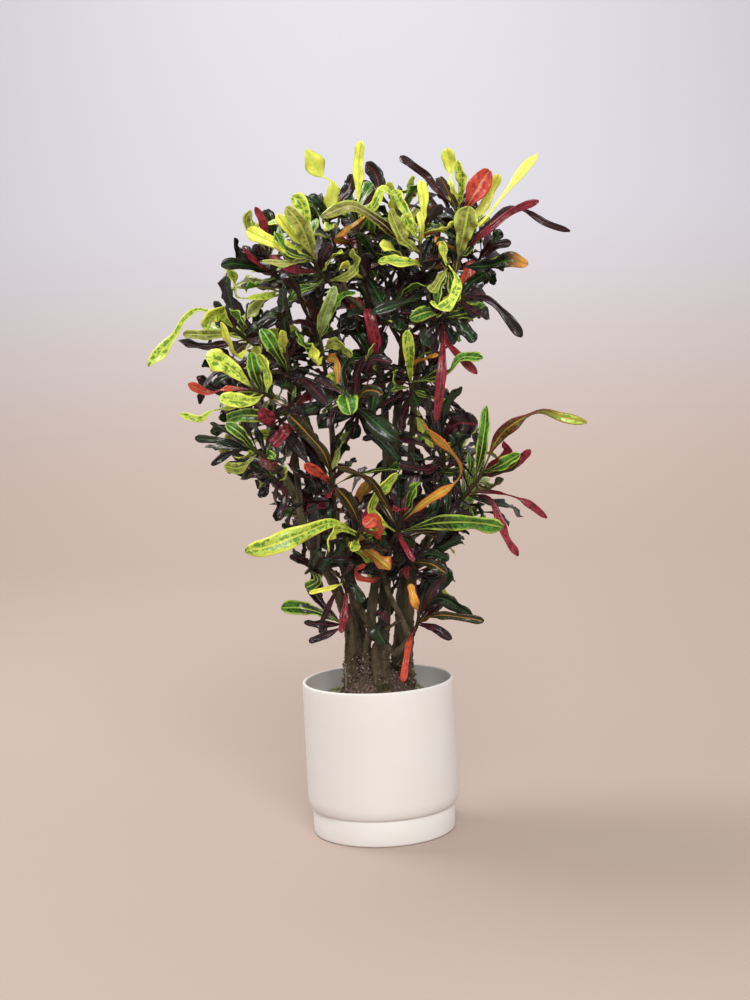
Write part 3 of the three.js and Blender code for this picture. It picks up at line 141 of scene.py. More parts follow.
# What a seen leaf moves nearer by, in millimetres, until it clears the leaves already there.
DEPTH_SHIFTS = (0, 8, -8, 16, -16, 24, -24, 34, -34, 44, -44, 56, -56)

NARROW = 3  # a leaf's half width under which one ball fills it, where three fill a wider one
LEAF_SKIN = 0.6  # added to the balls of a leaf
STEM_SKIN = 0.5
SIDE_BALL = 0.62  # how far out the balls at a blade's sides stand, as a share of its half width

# How the filling leaves' outlines and finishes are shared out: each with the share drawn up to it.
FILLING_OUTLINES = (("strap", 0.52), ("oval", 0.74), ("spoon", 0.86), ("waisted", 1))
BRIGHT_FINISHES = (("lime", 0.35), ("olive", 0.65), ("green", 0.9), ("yellow", 1))
ACCENT_FINISHES = (("crimson", 0.45), ("ember", 0.75), ("coral", 0.85), ("orange", 1))
DARK_FINISHES = (("dark", 0.42), ("maroon", 0.7), ("green", 0.82), ("purple", 1))
ACCENT_SHARE = 0.1
# The share of bright leaves: the least of it, and what it gains toward the picture's top and left and
# toward the viewer, with the stretch, in pixels or millimetres, that it gains it over. The gain toward
# the top is partly young growth and partly painted light from above. The gain toward the left is painted
# light from the key lamp at the upper left. The gain toward the viewer is painted light at the front,
# which leaves darker leaves in the crown's back as painted shade.
LEAST_BRIGHT = 0.05
BRIGHTER_UP = (0.2, 300, 190)
PAINTED_LIGHT_LEFT = (0.07, 320, 230)
PAINTED_LIGHT_NEAR = (0.06, 30, 120)

# ---- Finer shapes, which the solids are too coarse for ---------------------------------------------

# Leaves, as shares of a leaf's length or of its half width where no unit is given.
TIP_ROUNDING = 0.9  # where along it a leaf's tip starts to round off
TIP_END = 1.02  # and where it would close, past its end, so that the tip keeps a little width
FULLER = 0.38  # how much rounder its outer half is than on its solid, which is cut straight there
FULLER_FROM = (0.5, 0.68)  # and where along it that comes in
FOLD_POWER = 1.4  # 1 folds a blade flat on both sides of its midrib, and more bows them
BLADE_PUFF = 0.09  # how far each side of a blade swells between its midrib and its margin
RUFFLES = 4.2  # small waves of a leaf's margin, along it
RUFFLE_DEPTH = 0.19
RUFFLE_LAG = 1.9  # how far the ruffles of each margin are shifted along it, in radians
RIB_GROOVE = 0.5  # depth of the groove over its midrib, in millimetres
FULL_GROOVE = 4  # a leaf's half width, in millimetres, from which the groove is as deep as that
SEEN_GRID, FILLING_GRID = (6, 24), (4, 12)  # faces across and along a leaf

# Wood, in millimetres.
WOOD_STEP = 2.6
SCAR_SPACINGS = (13, 21)  # leaf scars ring the bark at these two spacings
SCAR_RELIEF, SCAR_WIDTH = 0.075, 2.2  # as a share of the stem's radius, and squared millimetres
FORK_COLLAR, COLLAR_LENGTH = 0.35, 7  # how much thicker a branch is where it forks off
FOOT_SWELL, SWELL_FROM, SWELL_LENGTH = 0.22, 38, 12  # and a stem's foot, up to that above the soil
CUT_END = (1, 0.93, 0.75, 0.4)  # radii of the last steps of the stem that is cut short
YOUNG_END = (0.95, 0.8, 0.5)  # and of a leafy shoot's

# The pot and the soil in it, in metres.
SAME_PLACE = 1e-7  # vertices closer than this are one
UNDERSIDE_LIFT = 0.0008  # the underside stands clear of the floor inside the ring that it rests on
FOOT_RING, RING_SLOPE = 0.012, 0.0015  # the ring's width, and how much of that slopes up
GROOVE_SHIFT = 0.0003  # how far the groove's round section stands out from the foot
STRAIGHT_FROM = 0.006  # how far above the shoulder the straight wall's first ring of faces starts
INNER_CORNER = 0.01  # rounding between the pot's floor and its wall
POT_SEGMENTS, SOIL_SEGMENTS, SOIL_RINGS = 128, 144, 46
SOIL_CLEARANCE = 0.0003
SOIL_SIDES = (0.12, 0.08, 0.05)  # heights of the rings down the soil's side
SOIL_CORNER, SOIL_SLOPE = 0.007, 0.005  # how far it draws in at the pot's shoulder and at its floor
SOIL_LIFT = 0.002  # how far it stands clear of the pot's floor
SOIL_TOP_FROM = 0.14  # every vertex of the soil above this is on its surface

# What lies on the soil, in millimetres.
CRUMB_RELIEF, LUMP_RELIEF = 0.55, 0.8
SCATTER_RADIUS = 86
WIDE_SPREAD, CLOSE_SPREAD = 0.95, 1.4  # powers of the share drawn: a higher one keeps closer in
ON_FEET, SPREAD_FROM = 0.38, 0.6  # draws under the first lie on stems' feet, and over the other, wide
CLIMB = 30  # how far up the stems' feet they lie
SMALLEST_LUMP, LARGEST_CRUMB, LARGEST_STONE = 0.8, 2.6, 1.5
LUMP_LENGTHS, LUMP_HEIGHTS, LUMP_LIFT = (1, 2.2), (0.45, 0.9), 0.25  # in shares of a lump's radius
CRUMB_SEED, GRIT_SEED, LUMP_SEED_STEP = 9001, 523, 37
ROOT_SEED, ROOT_SEED_STEP, ROOTS_PER_STEM, ROOT_STEPS = 6007, 41, 9, 12
ROOT_LENGTHS, ROOT_RADII, ROOT_END = (16, 46), (1.0, 2.3), 0.3
ROOT_LIFT, ROOT_DIVE = 1.4, 0.25  # above the soil at its start, and how much less with each step
ROOT_STRAY, ROOT_STRAY_SEED_STEP = (-0.5, 0.5), 17  # turns between its steps, in radians
MOSS_SEED, MOSS_SEED_STEP, TUFT_SEED_STEP = 4001, 53, 7
TUFT_LEAFLETS, TUFT_HEIGHTS, TUFT_TILTS = 5, (1.8, 3.6), (0.2, 1.1)
LEAFLET_FOOT, LEAFLET_TIP = 0.6, 0.05
MOSS_PATCHES = [(-53, 44, 17), (45, 50, 16), (-60, 12, 14), (62, 8, 13), (-38, -50, 12), (30, -58, 11)]
MOSS_LIFT = 11  # height of a moss cushion
MOSS_RADIUS = 87  # past this no tuft stands, so that none meets the pot
STALK = [[346, 692, 26], [346, 680, 27], [345, 666, 26]]  # as [pixel u, pixel v, front]
STALK_RADIUS = 0.0007  # in metres

# ---- Looks that no setting gives -------------------------------------------------------------------

LEAF_COLOURS = ("blade", "rib", "edge", "spot")  # attributes of a leaf's vertices, strengths in alpha
TONE_SEED, TONE_SEED_STEP = 13, 71
TONES = (0.78, 1.22)  # how much darker or lighter one leaf is than another
TIP_STRAY = 0.2  # how far the place where a tip's colour comes in strays, in shares of the length
VEIN_SWEEP = 1.3  # how many veins' spacings a vein runs forward on its way to the margin
STRONGEST = 0.9  # the most that a marking hides of the blade
LEAF_SHADE = (0.3, 0.27, 0.25)
BARK_DUST, YOUNG_DUST, ROOT_DUST = (0.20, 0.155, 0.11), (0.16, 0.13, 0.06), (0.33, 0.24, 0.20)
YOUNG_SHADE = (0.03, 0.018, 0.014)
STRAW, STRAW_SHADE = (0.42, 0.27, 0.17), (0.2, 0.12, 0.08)
BLOOM = (0.07, 0.075, 0.02)  # green on old bark
PALER_FROM = (0.25, 0.36)  # heights in metres between which the stems' bark turns paler
BARK_STRETCH = 0.3
GLAZE_WARMTH = (0.97, 0.955, 0.93)
FLECK = (0.42, 0.38, 0.34)
SKY_TINT, LIGHT_TINT = (1.0, 0.98, 0.96, 1), (1.0, 0.97, 0.93)
# Each light: its name, its place, what it points at and its side, all in metres.
LIGHTS = (
    ("key", (-1.2, 0.7, 2.3), (0, 0, 0.5), 1.0),
    ("fill", (0.35, -2.5, 2.2), (0, 0, 0.4), 1.3),
    ("wall", (0, 2.6, 3.6), (0, 5, 1.2), 2.0),
)
FLOOR_REACH, SWEEP = 5, 2.4  # half the floor's side, and the radius of its sweep into the backdrop

# ---- The photograph --------------------------------------------------------------------------------

# Where the camera stands, how far it is tipped and rolled, and its focal length in pixels.
VIEW_ASIDE = 6.7
VIEW_DISTANCE = 2100
VIEW_HEIGHT = 619
VIEW_FOCAL = 1694
VIEW_CENTRE = (375, 500)
VIEW_PITCH = math.radians(5.5)
VIEW_ROLL = math.radians(-2.66)
PICTURE_HEIGHT = 1000

CAMERA_AT = np.array([VIEW_ASIDE, -VIEW_DISTANCE, VIEW_HEIGHT])
SIGHT = np.array([0, math.cos(VIEW_PITCH), -math.sin(VIEW_PITCH)])
LEVEL = np.array([1.0, 0, 0])
UPRIGHT = np.cross(LEVEL, SIGHT)
PICTURE_RIGHT = LEVEL * math.cos(VIEW_ROLL) + UPRIGHT * math.sin(VIEW_ROLL)
PICTURE_UP = UPRIGHT * math.cos(VIEW_ROLL) - LEVEL * math.sin(VIEW_ROLL)

# ---- What a user would change ----------------------------------------------------------------------


def length_prop(name, description, default):
    return FloatProperty(name=name, description=description, default=default, min=0, unit="LENGTH")


def colour_prop(name, description, default):
    kept = {"name": name, "description": description, "default": default}
    return FloatVectorProperty(subtype="COLOR", min=0, max=1, **kept)


def share_prop(name, description, default):
    return FloatProperty(name=name, description=description, default=default, min=0, max=1, subtype="FACTOR")


def power_prop(name, description, default):
    return FloatProperty(name=name, description=description, default=default, min=0)


class PotSettings(bpy.types.PropertyGroup):
    """Sizes and finish of the pot."""

    radius: length_prop("Radius", "Outer radius of the pot's body", POT_BOX[1].x)
    height: length_prop("Height", "Height of the pot's rim", POT_BOX[1].z)
    wall: length_prop("Wall", "Thickness of the wall", 0.0045)
    floor: length_prop("Floor", "Thickness of the floor", 0.012)
    foot_radius: length_prop("Foot radius", "Outer radius of the foot", 0.0895)
    foot_height: length_prop("Foot height", "Height of the groove above the foot", 0.032)
    groove: length_prop("Groove", "Depth and half height of the groove", 0.0010)
    shoulder: length_prop("Shoulder", "Height over which the body rounds in above the foot", 0.016)
    edge: length_prop("Edge", "Rounding of the foot's lower edge", 0.003)
    glaze: colour_prop("Glaze", "Colour of the ceramic", (0.81, 0.80, 0.795))


class SoilSettings(bpy.types.PropertyGroup):
    """What lies on the soil."""

    earth: colour_prop("Earth", "Colour of damp potting soil", (0.045, 0.028, 0.022))
    crumb: colour_prop("Crumb", "Colour of the bark crumbs", (0.16, 0.095, 0.075))
    grit: colour_prop("Grit", "Colour of the pale grit", (0.50, 0.40, 0.34))
    moss: colour_prop("Moss", "Colour of the moss", (0.50, 0.50, 0.27))
    crumbs: IntProperty(name="Crumbs", description="Number of crumbs of bark", default=1500, min=0)
    stones: IntProperty(name="Stones", description="Number of pale bits of grit", default=1000, min=0)
    moss_tufts: IntProperty(name="Moss tufts", description="Number of tufts of moss", default=420, min=0)


class CrownSettings(bpy.types.PropertyGroup):
    """Leaves and stems."""

    blade: length_prop("Blade", "Thickness of a leaf", 0.0006)
    young_rounds: IntProperty(name="Rounds", description="Rounds of smaller leaves", default=3, min=0)
    young_spacing: FloatProperty(name="Spacing", description="Millimetres between smaller leaves", default=9)
    young_scale: share_prop("Scale", "Length of the smaller leaves against the large ones", 0.8)
    young_gap: FloatProperty(name="Gap", description="Millimetres between leaves that pass", default=0.5)
    gloss: share_prop("Gloss", "Weight of the leaves' waxy coat", 0.2)
    bark: colour_prop("Bark", "Colour of the old wood", (0.135, 0.10, 0.06))
    bark_shade: colour_prop("Bark shade", "Colour of the bark's furrows", (0.018, 0.012, 0.007))
    bark_high: colour_prop("High bark", "Colour of the bark of the branches", (0.17, 0.145, 0.085))
    young_bark: colour_prop("Young bark", "Colour of the leafy shoots' stems", (0.07, 0.06, 0.025))


class PaletteSettings(bpy.types.PropertyGroup):
    """The colours that the leaves are made of."""

    cream: colour_prop("Cream", "Palest margins and midribs", (0.86, 0.80, 0.36))
    yellow: colour_prop("Yellow", "Young leaves in full light", (0.94, 0.93, 0.13))
    lime: colour_prop("Lime", "Young leaves and bright margins", (0.56, 0.73, 0.095))
    leaf: colour_prop("Leaf green", "Fresh green of blotches and blades", (0.055, 0.22, 0.022))
    olive: colour_prop("Olive", "Dulled yellow-green", (0.34, 0.34, 0.075))
    deep: colour_prop("Deep green", "Old green blades", (0.011, 0.030, 0.009))
    black: colour_prop("Near black", "The oldest blades", (0.008, 0.0075, 0.006))
    maroon: colour_prop("Maroon", "Old red blades", (0.044, 0.006, 0.010))
    purple: colour_prop("Purple", "Blades between maroon and black", (0.018, 0.008, 0.011))
    crimson: colour_prop("Crimson", "Veins and accents", (0.27, 0.018, 0.04))
    coral: colour_prop("Coral", "Light red accents", (0.60, 0.07, 0.035))
    orange: colour_prop("Orange", "Orange accents", (0.80, 0.34, 0.05))
    rust: colour_prop("Rust", "Brown-red blades", (0.09, 0.03, 0.014))
    silver: colour_prop("Silver", "Grey-green young blades", (0.30, 0.42, 0.16))


class StageSettings(bpy.types.PropertyGroup):
    """Floor and light."""

    floor: colour_prop("Floor", "Colour of the floor", (0.455, 0.36, 0.315))
    backdrop: colour_prop("Backdrop", "Colour of the backdrop", (0.50, 0.50, 0.56))
    sky: power_prop("Sky", "Strength of the even light", 0.62)
    key: power_prop("Key", "Power of the light at the upper left, behind the plant", 33)
    fill: power_prop("Fill", "Power of the light above the camera", 66)
    wall: power_prop("Wall", "Power of the light on the backdrop", 95)


# Each finish: the palette's colours at the blade's base, its tip, its midrib and veins, its margin and
# its blotches, how strongly veins, margin and blotches show, and where along the blade the tip's colour
# comes in.
FINISHES = {
    "yellow": ("yellow", "yellow", "lime", "lime", "lime", 0.2, 0.5, 0.5, 0.3),
    "lime": ("lime", "lime", "yellow", "yellow", "leaf", 0.12, 0.75, 0.85, 0.3),
    "olive": ("olive", "olive", "lime", "lime", "deep", 0.2, 0.6, 0.5, 0.3),
    "green": ("deep", "leaf", "lime", "lime", "deep", 0.16, 0.7, 0.7, 0.5),
    "dark": ("black", "deep", "leaf", "maroon", "black", 0.04, 0.5, 0.8, 0.35),
    "maroon": ("maroon", "purple", "crimson", "black", "black", 0.06, 0.5, 0.8, 0.4),
    "purple": ("purple", "black", "maroon", "purple", "black", 0.06, 0.4, 0.6, 0.4),
    "crimson": ("maroon", "crimson", "coral", "crimson", "maroon", 0.06, 0.5, 0.8, 0.2),
    "coral": ("maroon", "coral", "orange", "coral", "crimson", 0.04, 0.4, 0.7, 0.2),
    "orange": ("rust", "orange", "yellow", "coral", "leaf", 0.12, 0.6, 0.35, 0.1),
    "ember": ("deep", "deep", "orange", "rust", "black", 0.1, 0.8, 0.6, 0.3),
    "blush": ("maroon", "olive", "cream", "lime", "deep", 0.08, 0.6, 0.4, 0.45),
    "tipped": ("black", "orange", "leaf", "deep", "deep", 0.04, 0.2, 0.3, 0.74),
    "sunset": ("rust", "lime", "orange", "crimson", "leaf", 0.15, 0.6, 0.6, 0.62),
    "silver": ("silver", "silver", "lime", "lime", "deep", 0.12, 0.5, 0.4, 0.3),
}
TIP_BLEND = 0.25  # share of a leaf's length over which its tip's colour comes in

# Each row: name, the row it forks from, its path as [pixel u, pixel v, front], its radius at the start
# and where it turns leafy, and the length of the leafy end. Rows that fork from nothing are planted.
STEMS = [
    ["left", None, [[352, 668, 12], [350, 630, 18], [338, 592, 24], [322, 562, 30], [309, 540, 36],
        [300, 512, 40], [291, 487, 44], [278, 466, 54], [263, 456, 64], [247, 447, 74]], 9.5, 4, 58],
    ["left_rise", "left", [[326, 570, 28], [331, 545, 12], [332, 500, 2], [333, 450, -2], [330, 410, 6],
        [326, 375, 22], [321, 345, 40], [316, 322, 52]], 4.5, 3.2, 70],
    ["left_mid", "left", [[300, 512, 40], [297, 470, 30], [292, 430, 28], [290, 400, 38], [289, 372, 54],
        [284, 345, 66]], 4, 3, 60],
    ["left_low", "left", [[296, 498, 42], [286, 486, 58], [274, 478, 74], [262, 474, 86]], 3.2, 2.6, 32],
    ["left_side", "left_mid", [[291, 412, 32], [280, 402, 58], [266, 394, 80], [250, 388, 100]], 3, 2.5,
        45],
    ["left_inner", "left_mid", [[293, 436, 28], [284, 424, 58], [273, 413, 86]], 3, 2.5, 35],
    ["left_foot", "left", [[349, 634, 18], [345, 627, 46], [341, 621, 62]], 3, 2.4, 26],
    ["left_knee", "left", [[320, 559, 31], [313, 566, 52], [305, 574, 66]], 3, 2.4, 30],

    ["front", None, [[367, 670, 24], [367, 645, 26], [370, 626, 24], [358, 606, 30], [346, 575, 42],
        [339, 545, 52], [336, 515, 58], [333, 490, 64], [329, 462, 72]], 5.8, 3.3, 60],
    ["front_side", "front", [[351, 590, 35], [346, 590, 58], [341, 576, 74]], 3, 2.5, 36],
    ["front_low", "front", [[340, 556, 48], [351, 545, 78], [362, 527, 100]], 3.4, 2.8, 52],
    ["centre", "front", [[370, 628, 24], [373, 600, 14], [378, 560, 8], [383, 520, 2], [385, 480, -2],
        [386, 440, -6], [384, 400, -6], [378, 355, 0], [370, 310, 6], [363, 275, 14], [359, 240, 22],
        [357, 208, 28]], 6, 3.5, 90],
    ["centre_front", "centre", [[379, 556, 8], [388, 548, 48], [398, 530, 88], [402, 514, 100]], 4.2, 3.2,
        60],
    ["centre_left", "centre", [[386, 436, -5], [368, 420, 34], [352, 408, 68], [345, 394, 82]], 3.4, 2.8,
        50],
    ["centre_mid", "centre", [[384, 396, -5], [379, 384, 28], [377, 364, 58]], 3, 2.6, 42],
    ["centre_high", "centre", [[376, 342, 2], [386, 322, 16], [396, 300, 24], [404, 284, 26]], 3.2, 2.6,
        60],
    ["top_left", "centre", [[371, 314, 6], [345, 295, 28], [324, 277, 52], [316, 262, 66], [306, 246, 76]],
        3.8, 3, 65],
    ["top_left_high", "top_left", [[348, 298, 26], [340, 268, 22], [333, 238, 22], [326, 214, 26]], 3, 2.6,
        65],

    ["stub", None, [[382, 690, 38], [381, 668, 38], [381, 655, 38], [385, 641, 36]], 9, 12.5, 0],
    ["stub_side", "stub", [[394, 656, 38], [408, 641, 38], [404, 624, 40], [390, 596, 46], [384, 577, 58],
        [382, 564, 72]], 5, 2.8, 34],
    ["stub_low", "stub_side", [[402, 620, 40], [394, 624, 62], [386, 630, 78]], 2.6, 2.2, 24],

    ["right", None, [[407, 670, 12], [408, 640, 10], [410, 605, 6], [414, 570, 2], [424, 545, 10],
        [442, 520, 28], [458, 502, 46], [472, 487, 60], [484, 470, 70]], 8.5, 3.5, 65],
    ["right_low", "right", [[412, 634, 9], [417, 625, 34], [419, 612, 56]], 3, 2.4, 34],
    ["right_face", "right", [[413, 585, 4], [413, 575, 34], [412, 560, 66]], 3, 2.5, 40],
    ["right_mid", "right", [[440, 522, 26], [442, 492, 40], [444, 462, 54], [441, 436, 62]], 3.2, 2.8, 52],
    ["right_back", "right", [[416, 562, 3], [430, 545, -30], [448, 525, -55], [460, 510, -68]], 3.4, 2.8,
        60],

    ["tall", None, [[398, 668, -18], [399, 640, -22], [402, 600, -26], [406, 560, -28], [409, 500, -20],
        [411, 450, -4], [413, 415, 14], [411, 388, 40], [408, 368, 52]], 8.5, 3, 45],
    ["tall_top", "tall", [[412, 425, 10], [418, 365, -6], [427, 338, -6], [436, 312, 2], [446, 292, 14],
        [456, 268, 28], [460, 238, 36], [458, 208, 40]], 4.5, 3.2, 95],
    ["top_centre", "tall_top", [[433, 320, 0], [427, 290, 18], [421, 262, 36], [420, 232, 46]], 3.5, 2.8,
        75],
    ["right_front", "tall_top", [[444, 296, 12], [449, 284, 48], [448, 264, 80]], 3, 2.6, 42],
    ["right_drop", "tall_top", [[438, 308, 4], [453, 303, 32], [468, 293, 52]], 3, 2.6, 42],
    ["right_hang", "tall_top", [[430, 330, -3], [437, 322, 34], [445, 314, 62]], 3, 2.5, 34],
    ["right_edge", "tall_top", [[448, 287, 16], [464, 275, -10], [478, 262, -28], [486, 246, -36]], 3, 2.6,
        58],

    ["back_left", None, [[362, 666, -22], [361, 640, -28], [355, 600, -36], [343, 550, -46],
        [330, 500, -54], [316, 450, -56], [300, 405, -48], [283, 370, -30], [262, 350, -6], [245, 338, 16],
        [229, 324, 34]], 8.5, 3.4, 75],
    ["back_left_top", "back_left", [[298, 398, -47], [295, 352, -34], [289, 315, -18], [281, 288, 6],
        [272, 265, 26], [264, 243, 36]], 3.8, 3, 78],
    ["back_left_side", "back_left", [[316, 450, -56], [292, 438, -82], [268, 425, -98], [248, 412, -108]],
        3.4, 2.8, 62],
    ["back_left_high", "back_left_top", [[295, 354, -35], [308, 318, -68], [314, 285, -90],
        [316, 255, -98]], 3.2, 2.8, 72],
    ["back_left_low", "back_left", [[341, 546, -47], [322, 530, -76], [306, 514, -96], [294, 498, -108]],
        3.2, 2.8, 58],
    ["back_left_out", "back_left", [[284, 371, -30], [262, 372, -62], [240, 366, -84]], 3, 2.6, 52],

    ["back", None, [[382, 666, -38], [384, 620, -48], [386, 560, -62], [390, 500, -76], [395, 440, -84],
        [400, 380, -86], [404, 320, -80], [400, 275, -68], [396, 240, -58], [393, 205, -52]], 9, 3.5, 90],
    ["back_right_high", "back", [[400, 384, -86], [425, 350, -110], [444, 320, -128], [454, 298, -136]],
        3.5, 3, 70],
    ["back_right_mid", "back", [[395, 446, -84], [425, 422, -112], [448, 404, -134], [462, 388, -144]], 3.5,
        3, 70],
    ["back_left_mid", "back", [[394, 450, -83], [368, 412, -116], [352, 386, -138], [344, 364, -148]], 3.5,
        3, 70],
    ["back_low", "back", [[384, 556, -63], [367, 530, -98], [356, 510, -122], [350, 492, -134]], 3.3, 2.8,
        66],
    ["back_right_low", "back", [[390, 504, -75], [414, 482, -108], [432, 466, -130], [446, 450, -142]], 3.3,
        2.8, 66],
    ["back_top", "back", [[404, 322, -80], [378, 292, -104], [364, 266, -120], [358, 244, -126]], 3.4, 2.8,
        70],
    ["back_top_right", "back", [[403, 300, -76], [428, 276, -90], [446, 250, -98], [452, 228, -102]], 3.4,
        2.8, 70],
    ["back_foot", "back", [[381, 602, -52], [394, 588, -84], [402, 572, -106]], 3, 2.6, 46],
    ["back_centre", "back", [[403, 346, -84], [388, 322, -108], [374, 306, -122], [366, 292, -128]], 3.2,
        2.7, 62],
    ["back_mid", "back", [[397, 420, -85], [410, 396, -64], [424, 376, -52], [432, 362, -46]], 3.2, 2.7,
        58],
]

